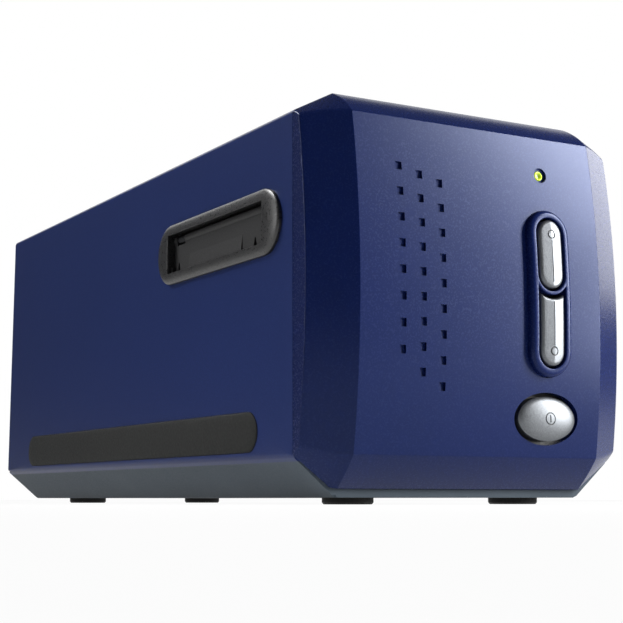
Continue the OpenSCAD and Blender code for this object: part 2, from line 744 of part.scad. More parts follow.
// Channel across the box in which the film holder slides, with the scanning window in its floor
module film_guide() color(BLACK) from_seam() difference() {
  union() {
    block([-51.2, 51.2], [rail_y[0], rail_y[1]], [guide_low, floor_z]);
    for (y = [rail_y[0], rail_y[1] - guide_t])
      block([-51.2, 51.2], [y, y + guide_t], [floor_z - EPS, floor_z + 10]);
  }
  // Scanning window, wider below
  along_y(slot_y - 15, slot_y + 15)
    polygon([[-19, floor_z + 1], [-19, floor_z - 1], [-22, guide_low - 1], [22, guide_low - 1],
             [19, floor_z - 1], [19, floor_z + 1]]);
  // Lead-in slopes at both mouths
  for (s = [0, 1]) mirror([s, 0, 0]) along_y(slot_y - guide_half, slot_y + guide_half)
    polygon([[49.2, floor_z + 1], [49.2, floor_z], [52, floor_z - 1.4], [52, floor_z + 1]]);
  // Window of the detent
  block([-4.5, 4.5], [rail_y[1] - guide_t - 1, rail_y[1] + 1], [floor_z + 2.5, floor_z + 7.5]);
}

// Leaf spring whose bump clicks into the holder's notches
module holder_detent() color(STEEL) from_seam() {
  block([-14, 14], [rail_y[1], rail_y[1] + 0.4], [floor_z + 2, floor_z + 8]);
  intersection() {
    translate([0, rail_y[1], floor_z + 3]) cylinder(4, r = 3);
    block([-3, 3], [rail_y[1] - 4, rail_y[1] + 0.2], [floor_z, floor_z + 10]);
  }
}

module guide_rod(side) color(STEEL) from_seam() rod_y(side * rod_x, rod_z, 12.2, 230.3, rod_r);

// ---------------------------------------------------------------- carriage

bush_r = 4.5;
bush_y = [line_y - 5, 140];
bush_l = 12;
window_z = [49, 61];

// Open tray that carries mirror, lens and sensor and slides on the two rods
module optics_carriage() color(CHASSIS_BLACK) from_seam() difference() {
  union() {
    difference() {
      block([-tray_half, tray_half], [tray_front, tray_rear], [tray_low, tray_high]);
      block([-tray_half + tray_wall, tray_half - tray_wall],
            [tray_front + tray_wall, tray_rear - tray_wall], [tray_low + tray_wall, tray_high + 1]);
    }
    // Wedges under the mirror
    for (s = [-1, 1]) along_x(s * 21 - 2, s * 21 + 2)
      polygon([[line_y - 10.14, tray_low + 1], [line_y + 5.86, tray_low + 1],
               [line_y + 5.86, axis_z - 10.14], [line_y - 10.14, axis_z + 5.86]]);
    // Light baffles
    for (y = [66, 84, 150]) difference() {
      block([-tray_half + 1, tray_half - 1], [y, y + 1.6], [tray_low + 1, tray_high - 1]);
      rod_y(0, axis_z, y - 1, y + 3, 9 + (150 - y) / 10);
    }
    // Cradle of the lens
    block([-20, 20], [lens_y[0] + 6, lens_y[1] - 6], [tray_low + 1, axis_z - 5]);
    // Boss blocks of the bushings, and the fork on the second rod
    for (y = bush_y) {
      rod_y(-rod_x, rod_z, y, y + bush_l, 6.5);
      block([-rod_x - 5, -rod_x + 5], [y, y + bush_l], [rod_z, tray_low + 1]);
    }
    block([rod_x - 5.5, rod_x + 4], [85, 97], [25, tray_low + 1]);
    // Flag of the home sensor
    block([-40, -tray_half + 1], [60.5, 65.5], [54.5, 55.5]);
  }
  rod_y(0, axis_z, lens_y[0], lens_y[1], lens_r + 0.03);
  for (y = bush_y) rod_y(-rod_x, rod_z, y - 1, y + bush_l + 1, bush_r);
  block([rod_x - rod_r - play, rod_x + 10], [84, 98], [rod_z - rod_r - play, rod_z + rod_r + play]);
  // Window of the line sensor in the rear wall
  block([-24.3, 24.3], [tray_rear - tray_wall - 1, tray_rear + 1], [window_z[0] - 0.3, window_z[1] + 0.3]);
}

module carriage_bushings() color(BRASS) from_seam() for (y = bush_y) difference() {
  rod_y(-rod_x, rod_z, y, y + bush_l, bush_r);
  rod_y(-rod_x, rod_z, y - 1, y + bush_l + 1, rod_r + play);
}

// Light-tight lid with the slit through which the line of film is seen
module optics_cover() color(BLACK) from_seam() difference() {
  block([-tray_half, tray_half], [tray_front, tray_rear], [tray_high, tray_high + 1.5]);
  block([-22, 22], [line_y - 2.5, line_y + 2.5], [tray_high - 1, tray_high + 3]);
}

// Mirror at 45 degrees: its face passes through the optical axis below the scanned line
module mirror_plate() color("#dfe6ea") from_seam() along_x(-23, 23) {
  edge = 12 / sqrt(2);
  back = 3 / sqrt(2);
  polygon([[line_y - edge, axis_z + edge], [line_y - edge - back, axis_z + edge - back],
           [line_y + edge - back, axis_z - edge - back], [line_y + edge, axis_z - edge]]);
}

module lens_barrel() color("#1f2023") from_seam() difference() {
  rod_y(0, axis_z, lens_y[0], lens_y[1], lens_r);
  rod_y(0, axis_z, lens_y[0] - 1, lens_y[1] + 1, 7);
  for (y = [lens_y[0] - 1, lens_y[1] - 5]) rod_y(0, axis_z, y, y + 6, 9.2);
}

module lens_glass() color(GLASS) from_seam() for (s = [0, 1]) {
  y = s == 0 ? lens_y[0] + 2.6 : lens_y[1] - 5;
  rod_y(0, axis_z, y, y + 2.4, 9.1);
}

module lens_clamp() color(STEEL) from_seam() {
  strap_y = [lens_y[0] + 8, lens_y[1] - 8];
  difference() {
    union() {
      difference() {
        rod_y(0, axis_z, strap_y[0], strap_y[1], lens_r + 0.85);
        block([-20, 20], [strap_y[0] - 1, strap_y[1] + 1], [axis_z - 20, axis_z - 5]);
      }
      block([-20, 20], [strap_y[0], strap_y[1]], [axis_z - 5, axis_z - 4]);
    }
    rod_y(0, axis_z, strap_y[0] - 1, strap_y[1] + 1, lens_r + 0.05);
  }
}

module sensor_board() color(BOARD_GREEN) from_seam()
  block([-30, 30], [tray_rear, tray_rear + 1.6], [42, 67]);

module line_sensor() color("#3c4048") from_seam() difference() {
  block([-24, 24], [tray_rear - 4, tray_rear], window_z);
  block([-20, 20], [tray_rear - 5, tray_rear - 3.4], [axis_z - 1.6, axis_z + 1.6]);
}

arm_y = rail_y[1] + 1.6;
arm_low = tray_high + 1.5;

// Bracket that carries the lamp over the film
module lamp_arm() color(CHASSIS_BLACK) from_seam() {
  block([-26, 26], [arm_y, arm_y + 15], [arm_low, arm_low + 2.5]);
  block([-26, 26], [arm_y, arm_y + 2.5], [arm_low, 99.5]);
  block([-26, 26], [line_y - 10, arm_y + 2.5], [97, 99.5]);
  for (x = [-20, 0, 20]) along_x(x - 0.9, x + 0.9)
    polygon([[arm_y + 2, arm_low + 2], [arm_y + 13, arm_low + 2], [arm_y + 2, 94]]);
}

module lamp_housing() color("#e4e4de") from_seam() difference() {
  block([-25, 25], [line_y - 9, line_y + 9], [91, 97]);
  block([-23.6, 23.6], [line_y - 7.6, line_y + 7.6], [92.3, 98]);
  block([-24.2, 24.2], [line_y - 8.2, line_y + 8.2], [90, 92.4]);
}

module lamp_diffuser() color("#f4f5f2") from_seam()
  block([-24.1, 24.1], [line_y - 8.1, line_y + 8.1], [91, 92.3]);

module lamp_board() color("#eef0ee") from_seam() {
  block([-23, 23], [line_y - 6, line_y + 6], [96, 97]);
  for (i = [0 : 7]) block([-21 + 5.5 * i, -17.5 + 5.5 * i], [line_y - 1.4, line_y + 1.4], [95.2, 96]);
}

// ---------------------------------------------------------------- drive

nut_y = [153, 163];

module drive_nut() color("#d8d2c0") from_seam() difference() {
  union() {
    block([screw_x - 6, screw_x + 6], nut_y, [screw_z - 5.5, tray_low]);
    block([screw_x - 6, screw_x + 14], [nut_y[0] - 6, nut_y[1] + 4], [tray_low - 2.5, tray_low]);
  }
  rod_y(screw_x, screw_z, nut_y[0] - 1, nut_y[1] + 1, screw_r + play);
}

// The screw is a plain rod here: its thread is finer than its running clearance needs to show
module lead_screw() color(STEEL) from_seam() {
  rod_y(screw_x, screw_z, 134.3, 203.8, screw_r);
  rod_y(screw_x, screw_z, 138.3, 139.3, screw_r + 1);
}

function involute_angle(a) = tan(a) * 180 / PI - a;

// Half the angle that a tooth takes up at radius r
function tooth_half(r, pitch_r, teeth, slack) =
  let (base_r = pitch_r * cos(20))
  90 / teeth + involute_angle(20) - involute_angle(acos(min(1, base_r / max(r, base_r)))) - slack;

// Spur gear outline with involute flanks
module gear_outline(teeth, slack) {
  pitch_r = gear_module * teeth / 2;
  root_r = pitch_r - 1.25 * gear_module;
  tip_r = pitch_r + 0.88 * gear_module;
  steps = 4;
  radii = [for (i = [0 : steps]) root_r + (tip_r - root_r) * i / steps];
  polygon([for (k = [0 : teeth - 1]) let (mid = k * 360 / teeth) each concat(
    [for (i = [0 : steps]) let (r = radii[i], a = mid - tooth_half(r, pitch_r, teeth, slack))
      r * [cos(a), sin(a)]],
    [for (i = [steps : -1 : 0]) let (r = radii[i], a = mid + tooth_half(r, pitch_r, teeth, slack))
      r * [cos(a), sin(a)]])]);
}

module screw_gear() color("#e2ddce") from_seam() difference() {
  union() {
    along_y(gear_y[0] + 0.5, gear_y[1] - 0.5) translate([screw_x, screw_z])
      gear_outline(gear_teeth, 0.35);
    rod_y(screw_x, screw_z, gear_y[0] - 3, gear_y[1], 4);
  }
  rod_y(screw_x, screw_z, gear_y[0] - 4, gear_y[1] + 1, screw_r + 0.03);
  for (i = [0 : 4]) rod_y(screw_x + 6.6 * cos(72 * i), screw_z + 6.6 * sin(72 * i),
                          gear_y[0] - 1, gear_y[1] + 1, 1.5);
}

module motor_pinion() color(BRASS) from_seam() {
  along_y(gear_y[0], gear_y[1]) translate([motor_x, screw_z]) rotate(180 / pinion_teeth)
    gear_outline(pinion_teeth, 1);
  rod_y(motor_x, screw_z, gear_y[1] - EPS, motor_y + 4, 1);
}

module stepper_motor() color(STEEL) from_seam() difference() {
  union() {
    rod_y(motor_x, screw_z, motor_y, motor_y + 15.5, 12.4);
    along_y(motor_y, motor_y + 1) translate([motor_x, screw_z]) stadium(38, 7.6);
    block([motor_x - 6, motor_x + 6], [motor_y + 3, motor_y + 13], [screw_z + 11, screw_z + 13.8]);
  }
  rod_y(motor_x, screw_z, motor_y - 1, motor_y + 5, 1 + play);
  for (s = [-1, 1]) rod_y(motor_x + s * 16, screw_z, motor_y - 1, motor_y + 2, 1.4);
}

module motor_bracket() color(STEEL) from_seam() difference() {
  union() {
    block([-20, 24.5], [motor_y - 1.4, motor_y], [deck_z, 36]);
    block([-20, -11], [motor_y - 1.4, motor_y + 9], [deck_z, deck_z + 1.4]);
    block([18, 24.5], [motor_y - 1.4, motor_y + 9], [deck_z, deck_z + 1.4]);
  }
  for (s = [-1, 1]) {
    rod_y(s * rod_x, rod_z, motor_y - 3, motor_y + 1, rod_r + 1);
    rod_y(motor_x + s * 16, screw_z, motor_y - 3, motor_y + 1, 1.4);
  }
  rod_y(motor_x, screw_z, motor_y - 3, motor_y + 1, 1 + 4 * play);
  rod_y(screw_x, screw_z, motor_y - 3, motor_y + 1, screw_r + play);
}

// Forked light barrier that sees the carriage's flag at the start of its travel
module home_sensor() color("#202226") from_seam() difference() {
  block([-frame_x[0], -36.5], [60, 66], [50, 60]);
  block([-43, -36], [59, 67], [53.5, 56.5]);
}

// ---------------------------------------------------------------- electronics

usb_x = 12;
usb_z = board_z + board_t + 5.45;
jack_x = -15.5;
jack_z = board_z + board_t + 6.4;

module main_board() color(BOARD_GREEN) from_seam() difference() {
  union() {
    block([-49.4, 49.4], [126, 249], [board_z, board_z + board_t]);
    top = board_z + board_t - EPS;
    block([-12, 12], [160, 184], [top, top + 1.9]);
    block([-38, -26], [150, 168], [top, top + 1.5]);
    block([22, 34], [196, 212], [top, top + 1.5]);
    block([-30, 6], [130, 135], [top, top + 4.2]);
    block([18, 40], [130, 135], [top, top + 4.2]);
    for (p = [[-34, 232], [-34, 220], [30, 228]]) translate([p[0], p[1], top]) cylinder(9, r = 4);
    block([20, 30], [170, 180], [top, top + 4.5]);
  }
  for (s = [-1, 1], y = [140, 222]) translate([s * 46, y, board_z - 1]) cylinder(9, r = 1.6);
}

module usb_socket() color(STEEL) from_seam() {
  mouth = body_l - 0.4;
  difference() {
    block([usb_x - 6, usb_x + 6], [mouth - 16, mouth], [usb_z - 5.45, usb_z + 5.45]);
    along_y(mouth - 10, mouth + 1) translate([usb_x, usb_z])
      polygon([[-4.25, -3.9], [4.25, -3.9], [4.25, 2.2], [2.6, 3.9], [-2.6, 3.9], [-4.25, 2.2]]);
  }
  block([usb_x - 2.8, usb_x + 2.8], [mouth - 11, mouth - 1.5], [usb_z - 1.6, usb_z + 1.6]);
}

module power_socket() color(BLACK) from_seam() {
  mouth = body_l - 0.4;
  difference() {
    union() {
      block([jack_x - 4.5, jack_x + 4.5], [mouth - 13.5, body_l - wall], [board_z + board_t, jack_z + 4.6]);
      rod_y(jack_x, jack_z, body_l - wall - EPS, mouth, 4.1);
    }
    rod_y(jack_x, jack_z, mouth - 9.5, mouth + 1, 3.1);
  }
  rod_y(jack_x, jack_z, mouth - 10, mouth - 0.8, 1);
}

// ---------------------------------------------------------------- fasteners

// Pan-head screw with a cross recess. It points along -Z, and its head stands on z = 0
module screw(length, shank_r, head_r, head_h = 1.8) {
  difference() {
    cylinder(head_h, r = head_r);
    for (a = [0, 90]) rotate(a) translate([-head_r * 0.55, -0.35, head_h - 0.8])
      cube([head_r * 1.1, 0.7, 2]);
  }
  translate([0, 0, -length]) cylinder(length + EPS, r = shank_r);
}

module housing_screws() color(STEEL) from_seam() for (s = [-1, 1], y = lug_y)
  translate([s * lug_x, y, base_z + 5]) rotate([180, 0, 0]) screw(13, 1.2, 2.9);

module board_screws() color(STEEL) from_seam() {
  for (s = [-1, 1], y = [140, 222]) translate([s * 46, y, board_z + board_t]) screw(8, 1.2, 2.6);
  for (s = [-1, 1], y = post_y) translate([s * post_x, y, deck_z]) screw(7, 1.2, 2.6);
}

module panel_screws() color(STEEL) from_seam() {
  for (s = [-1, 1]) translate([s * rear_boss[0], body_l - 1.4, rear_boss[1]])
    rotate([-90, 0, 0]) screw(8, 1.2, 2.7, 1.3);
  for (x = stud_x, z = stud_z) translate([x, switch_y + 1.6, z]) rotate([-90, 0, 0]) screw(5, 0.95, 2);
}

// ---------------------------------------------------------------- parts

upper_housing();
base_cover();
front_bezel();
rear_panel();
foot(-foot_places[0][0], foot_places[0][1]);  // foot_front_left
foot(foot_places[0][0], foot_places[0][1]);  // foot_front_right
foot(-foot_places[1][0], foot_places[1][1]);  // foot_rear_left
foot(foot_places[1][0], foot_places[1][1]);  // foot_rear_right
grip_pad(-1);  // grip_pad_left
grip_pad(1);  // grip_pad_right
slot_frame(-1);  // slot_frame_left
slot_frame(1);  // slot_frame_right
dust_door(-1);  // dust_door_left
dust_door(1);  // dust_door_right
door_pin(-1);  // door_pin_left
door_pin(1);  // door_pin_right
door_spring(-1);  // door_spring_left
door_spring(1);  // door_spring_right
button_surround();
upper_scan_button();
lower_scan_button();
power_button();
plunger(switch_z[0]);  // upper_plunger
plunger(switch_z[1]);  // lower_plunger
plunger(switch_z[2]);  // power_plunger
tact_switches();
indicator_lens();
indicator_lamp();
button_board();
chassis();
film_guide();
holder_detent();
guide_rod(-1);  // guide_rod_left
guide_rod(1);  // guide_rod_right
optics_carriage();
carriage_bushings();
optics_cover();
mirror_plate();  // mirror
lens_barrel();
lens_glass();
lens_clamp();
sensor_board();
line_sensor();
lamp_arm();
lamp_housing();
lamp_diffuser();
lamp_board();
drive_nut();
lead_screw();
screw_gear();
motor_pinion();
stepper_motor();
motor_bracket();
home_sensor();
main_board();
usb_socket();
power_socket();
housing_screws();
board_screws();
panel_screws();
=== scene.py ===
"""Film scanner: finished pieces, materials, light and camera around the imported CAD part."""

import math

import bmesh
import bpy
import numpy as np
from mathutils import Matrix, Vector


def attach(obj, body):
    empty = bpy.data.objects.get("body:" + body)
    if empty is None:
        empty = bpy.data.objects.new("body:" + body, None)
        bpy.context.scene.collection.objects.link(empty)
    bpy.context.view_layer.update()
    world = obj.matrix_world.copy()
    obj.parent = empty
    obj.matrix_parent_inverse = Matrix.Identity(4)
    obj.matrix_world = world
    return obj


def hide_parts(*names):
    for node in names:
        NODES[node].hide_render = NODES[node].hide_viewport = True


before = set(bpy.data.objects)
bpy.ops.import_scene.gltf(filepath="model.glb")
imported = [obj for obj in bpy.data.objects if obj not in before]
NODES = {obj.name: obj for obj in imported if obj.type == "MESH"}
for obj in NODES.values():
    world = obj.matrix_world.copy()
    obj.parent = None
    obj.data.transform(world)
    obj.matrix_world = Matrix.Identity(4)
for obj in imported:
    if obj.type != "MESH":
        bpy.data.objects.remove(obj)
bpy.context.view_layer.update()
MM = 0.001

# Main sizes of the body, in millimetres. Y is counted from the seam between bezel and housing.
SEAM_Y = -117.4
# Section: half width, base and top, upright part of the sides, half width of the flat top and base
HALF_W = 58.1
BASE_Z, TOP_Z = 2.0, 121.8
SIDE_LOW, SIDE_HIGH = 13.5, 114.6
FLAT_HALF = 44.4
MID_Z = 62
WALL = 2.4
# Front panel: radius of its bulge and the place of the bulge's axis
BULGE_R, BULGE_Y, BULGE_Z = 310.0, 295.0, 65.5
PANEL_TOP, PANEL_LOW = 113.9, 14.0
BEZEL_LOW = 3.2
# Bent strips beside the panel: their width, and how far they fall back
CHEEK_W, CHEEK_D = 13.7, 7.5
# Bulge of the facets above and below the panel, as the degrees by which they turn
TOP_TURN, LOW_TURN = 24, 14
# Radii of the edges: facets to panel, cheeks to corner facets, cheeks to panel, front to walls, seam
FACET_ROUND, CORNER_ROUND, CHEEK_ROUND, FRONT_ROUND, SEAM_ROUND = 0.8, 2.5, 0.45, 0.55, 0.3
LONG_ROUND = 0.9
# Column of the buttons: middle, width and height of the frame round the keys and of the power button
BUTTON_X = 23.7
BANK_Z, BANK_W, BANK_H = 64.0, 15.6, 51.8
POWER_Z, POWER_W, POWER_H = 25.6, 21.8, 13.4
LAMP_Z = 101.5
# Middle of the film slot
SLOT_Y, SLOT_Z = 49.8, 83.7


def at(x, y, z):
    """A point given in millimetres from the seam, as a place in the row frame."""
    return Vector((x * MM, (y + SEAM_Y) * MM, z * MM))


def placed(name, data):
    """A new object in the scene."""
    obj = bpy.data.objects.new(name, data)
    bpy.context.scene.collection.objects.link(obj)
    return obj


# ------------------------------------------------------------------ camera

IMAGE_PX = 623
FOCAL_PX = 1412.5
# Where the line of sight meets the image, from the left and from the top
SIGHT_PX = (290, 255)
SENSOR_MM = 36
CAMERA_PLACE = (-256.3, -351.4, 1.52)
CAMERA_RISE, CAMERA_TURN = 9.81, -29.32


def set_up_camera():
    """A camera low on the front left, which looks up a little."""
    cam = bpy.data.cameras.new("studio_camera")
    cam.sensor_width = SENSOR_MM
    cam.lens = FOCAL_PX / IMAGE_PX * SENSOR_MM
    cam.shift_x = (IMAGE_PX / 2 - SIGHT_PX[0]) / IMAGE_PX
    cam.shift_y = -(IMAGE_PX / 2 - SIGHT_PX[1]) / IMAGE_PX
    # Metres between which things are seen
    cam.clip_start, cam.clip_end = 0.01, 20
    obj = placed("studio_camera", cam)
    obj.location = at(*CAMERA_PLACE)
    obj.rotation_euler = (math.radians(90 + CAMERA_RISE), 0, math.radians(CAMERA_TURN))
    bpy.context.scene.camera = obj


set_up_camera()


# ------------------------------------------------------------------ material tools


def linear(code):
    """sRGB hex to a linear colour with alpha."""
    rgb = [int(code[i : i + 2], 16) / 255 for i in (1, 3, 5)]
    return [c / 12.92 if c <= 0.04045 else ((c + 0.055) / 1.055) ** 2.4 for c in rgb] + [1.0]


def put(tree, kind, settings=None, links=None):
    """Adds a node, sets its sockets or properties by name, and links other nodes' sockets to it."""
    node = tree.nodes.new(kind)
    for name, value in (settings or {}).items():
        if name in node.inputs:
            node.inputs[name].default_value = value
        else:
            setattr(node, name, value)
    for name, source in (links or {}).items():
        tree.links.new(source, node.inputs[name])
    return node


def empty_tree(owner):
    """The node tree of a new material or world, without the nodes that it starts with."""
    owner.use_nodes = True
    owner.node_tree.nodes.clear()
    return owner.node_tree


def new_material(name, **shader):
    """A material with a Principled shader; returns it with its tree, shader and object coordinates."""
    mat = bpy.data.materials.new(name)
    tree = empty_tree(mat)
    bsdf = put(tree, "ShaderNodeBsdfPrincipled", shader)
    put(tree, "ShaderNodeOutputMaterial", links={"Surface": bsdf.outputs[0]})
    place = put(tree, "ShaderNodeTexCoord").outputs["Object"]
    return mat, tree, bsdf, place


# Scale of a noise texture whose blotches are about a metre across
BLOTCH_SCALE = 0.55


def spots(tree, place, size_mm, detail=2.0, stretch=(1, 1, 1), rough=0.5):
    """Noise whose blotches are about size_mm across, drawn out along an axis by stretch."""
    mapping = put(tree, "ShaderNodeMapping", {"Scale": stretch}, {"Vector": place})
    settings = {"Scale": BLOTCH_SCALE / (size_mm * MM), "Detail": detail, "Roughness": rough}
    return put(tree, "ShaderNodeTexNoise", settings, {"Vector": mapping.outputs[0]}).outputs[0]


def between(tree, factor, low, high, start=0.3, end=0.7):
    """Carries a value that runs from start to end onto the span low to high."""
    settings = {"From Min": start, "From Max": end, "To Min": low, "To Max": high}
    return put(tree, "ShaderNodeMapRange", settings, {"Value": factor}).outputs[0]


def two_colours(tree, factor, dark, light, start=0.3, end=0.7):
    """Runs from one colour to another while a value runs from start to end."""
    ramp = put(tree, "ShaderNodeValToRGB", links={"Fac": factor})
    for stop, position, code in zip(ramp.color_ramp.elements, (start, end), (dark, light)):
        stop.position = position
        stop.color = linear(code)
    return ramp.outputs[0]


def relief(tree, bsdf, height, depth_mm, strength=1.0):
    """Bumps of a depth that follow a height between 0 and 1."""
    settings = {"Strength": strength, "Distance": depth_mm * MM}
    bump = put(tree, "ShaderNodeBump", settings, {"Height": height})
    tree.links.new(bump.outputs[0], bsdf.inputs["Normal"])


def coat(tree, bsdf, colour, roughness):
    """Gives a shader its colour and its roughness from other nodes."""
    tree.links.new(colour, bsdf.inputs["Base Color"])
    tree.links.new(roughness, bsdf.inputs["Roughness"])


def moulded(name, dark, light, roughness, grain_mm, depth_mm, shine=0.5, metallic=0.0):
    """Plastic or rubber from a mould: cloudy colour, grain of the mould's surface and uneven gloss."""
    mat, tree, bsdf, place = new_material(name, **{"Specular IOR Level": shine, "Metallic": metallic})
    mottle_mm, uneven = 18, 0.08
    cloud = spots(tree, place, mottle_mm, 3)
    grain = spots(tree, place, grain_mm, 2, rough=0.6)
    tint = two_colours(tree, cloud, dark, light, 0.25, 0.75)
    coat(tree, bsdf, tint, between(tree, grain, roughness - uneven, roughness + uneven))
    relief(tree, bsdf, grain, depth_mm)
    return mat


def worked_metal(name, dark, light, roughness, line_mm, stretch, depth_mm=0.004):
    """Metal with the fine lines of its last working step, drawn out along the stretched axis."""
    mat, tree, bsdf, place = new_material(name, Metallic=1.0)
    cloud_mm, brighter, duller = 9, 0.1, 0.12
    lines = spots(tree, place, line_mm, 3, stretch, 0.65)
    cloud = spots(tree, place, cloud_mm, 2)
    gloss = between(tree, lines, roughness - brighter, roughness + duller)
    coat(tree, bsdf, two_colours(tree, cloud, dark, light), gloss)
    relief(tree, bsdf, lines, depth_mm)
    return mat


def clouded(name, shader, size_mm, detail, tints, gloss, depth_mm=0.0):
    """A stuff whose tint and gloss, each between two values, change together in small clouds."""
    mat, tree, bsdf, place = new_material(name, **shader)
    cloud = spots(tree, place, size_mm, detail)
    coat(tree, bsdf, two_colours(tree, cloud, *tints), between(tree, cloud, *gloss))
    if depth_mm:
        relief(tree, bsdf, cloud, depth_mm)
    return mat


# ------------------------------------------------------------------ materials


def blue_lacquer():
    """Sprayed satin lacquer on ABS: deep blue with fine mica, which sparkles faintly in the light,
    and the slight waviness that sprayed coats have."""
    mat, tree, bsdf, place = new_material("satin_blue_mica_lacquer", **{"Specular IOR Level": 0.1})
    flake_mm, flake_share = 0.28, 0.35
    mica = put(tree, "ShaderNodeTexVoronoi", {"Scale": 1 / (flake_mm * MM)}, {"Vector": place})
    flake = put(tree, "ShaderNodeSeparateColor", links={"Color": mica.outputs["Color"]}).outputs[0]
    cloud = spots(tree, place, 40, 3)
    base = two_colours(tree, cloud, "#1b2957", "#1d2b5b")
    glint = two_colours(tree, flake, "#1b2957", "#334478", 0.72, 1.0)
    # Sockets 6 and 7 are the mix's two colours
    settings = {"data_type": "RGBA", "Factor": flake_share}
    mix = put(tree, "ShaderNodeMix", settings, {6: base, 7: glint})
    coat(tree, bsdf, mix.outputs[2], between(tree, flake, 0.28, 0.38, 0, 1))
    relief(tree, bsdf, spots(tree, place, 1.6, 2), 0.006)
    return mat


def eroded_blue():
    """Blue ABS from a spark-eroded mould: an even, pebbly grain of about half a millimetre,
    which breaks the reflections up into a soft sheen."""
    shader = {"Specular IOR Level": 0.28, "Specular Tint": linear("#c2d2ff")}
    mat, tree, bsdf, place = new_material("spark_eroded_blue_abs", **shader)
    pebble_mm, fine_mm = 0.42, 0.25
    settings = {"Scale": 1 / (pebble_mm * MM), "feature": "SMOOTH_F1"}
    pebbles = put(tree, "ShaderNodeTexVoronoi", settings, {"Vector": place}).outputs["Distance"]
    fine = spots(tree, place, fine_mm, 2)
    height = put(tree, "ShaderNodeMath", {"operation": "ADD"}, {0: pebbles, 1: fine})
    tint = two_colours(tree, spots(tree, place, 30, 3), "#0c1944", "#0e1b4a")
    coat(tree, bsdf, tint, between(tree, pebbles, 0.23, 0.3, 0.1, 0.8))
    relief(tree, bsdf, height.outputs[0], 0.02, 0.22)
    return mat


def green_lens():
    """Green acrylic light pipe with its lamp on, so it glows; its colour has a painted highlight on the rim
    of the dished end and painted shade in the middle.
    """
    mat, tree, bsdf, place = new_material("lit_green_acrylic", Roughness=0.15, **{"Emission Strength": 0.5})
    reach = 1.5 * MM
    centre = (-BUTTON_X * MM / reach, 0, -LAMP_Z * MM / reach)
    settings = {"Location": centre, "Scale": (1 / reach, 0, 1 / reach)}
    middle = put(tree, "ShaderNodeMapping", settings, {"Vector": place}).outputs[0]
    depth = put(tree, "ShaderNodeTexGradient", {"gradient_type": "SPHERICAL"}, {"Vector": middle})
    # Painted highlight and painted shade: the colour, which also sets the glow, runs from bright at the rim
    # of the dished end to dark in its middle
    tint = two_colours(tree, depth.outputs[1], "#b9d62a", "#4d6608", 0.2, 0.75)
    tree.links.new(tint, bsdf.inputs["Base Color"])
    tree.links.new(tint, bsdf.inputs["Emission Color"])
    return mat


def circuit_board():
    """Green solder mask over copper: conductors show as slightly lighter, raised lines on a grid."""
    mat, tree, bsdf, place = new_material("green_solder_mask", Roughness=0.32)
    grid_mm = 9
    settings = {"Scale": 1 / (grid_mm * MM), "Mortar Size": 0.03, "Brick Width": 0.5, "Row Height": 0.17,
                "Color1": linear("#000000"), "Color2": (0.4, 0.4, 0.4, 1), "Mortar": linear("#ffffff")}
    cells = put(tree, "ShaderNodeTexBrick", settings, {"Vector": place})
    grey = put(tree, "ShaderNodeRGBToBW", links={"Color": cells.outputs["Color"]}).outputs[0]
    tree.links.new(two_colours(tree, grey, "#14502f", "#2a7a4c", 0.1, 0.9), bsdf.inputs["Base Color"])
    relief(tree, bsdf, grey, 0.03)
    return mat


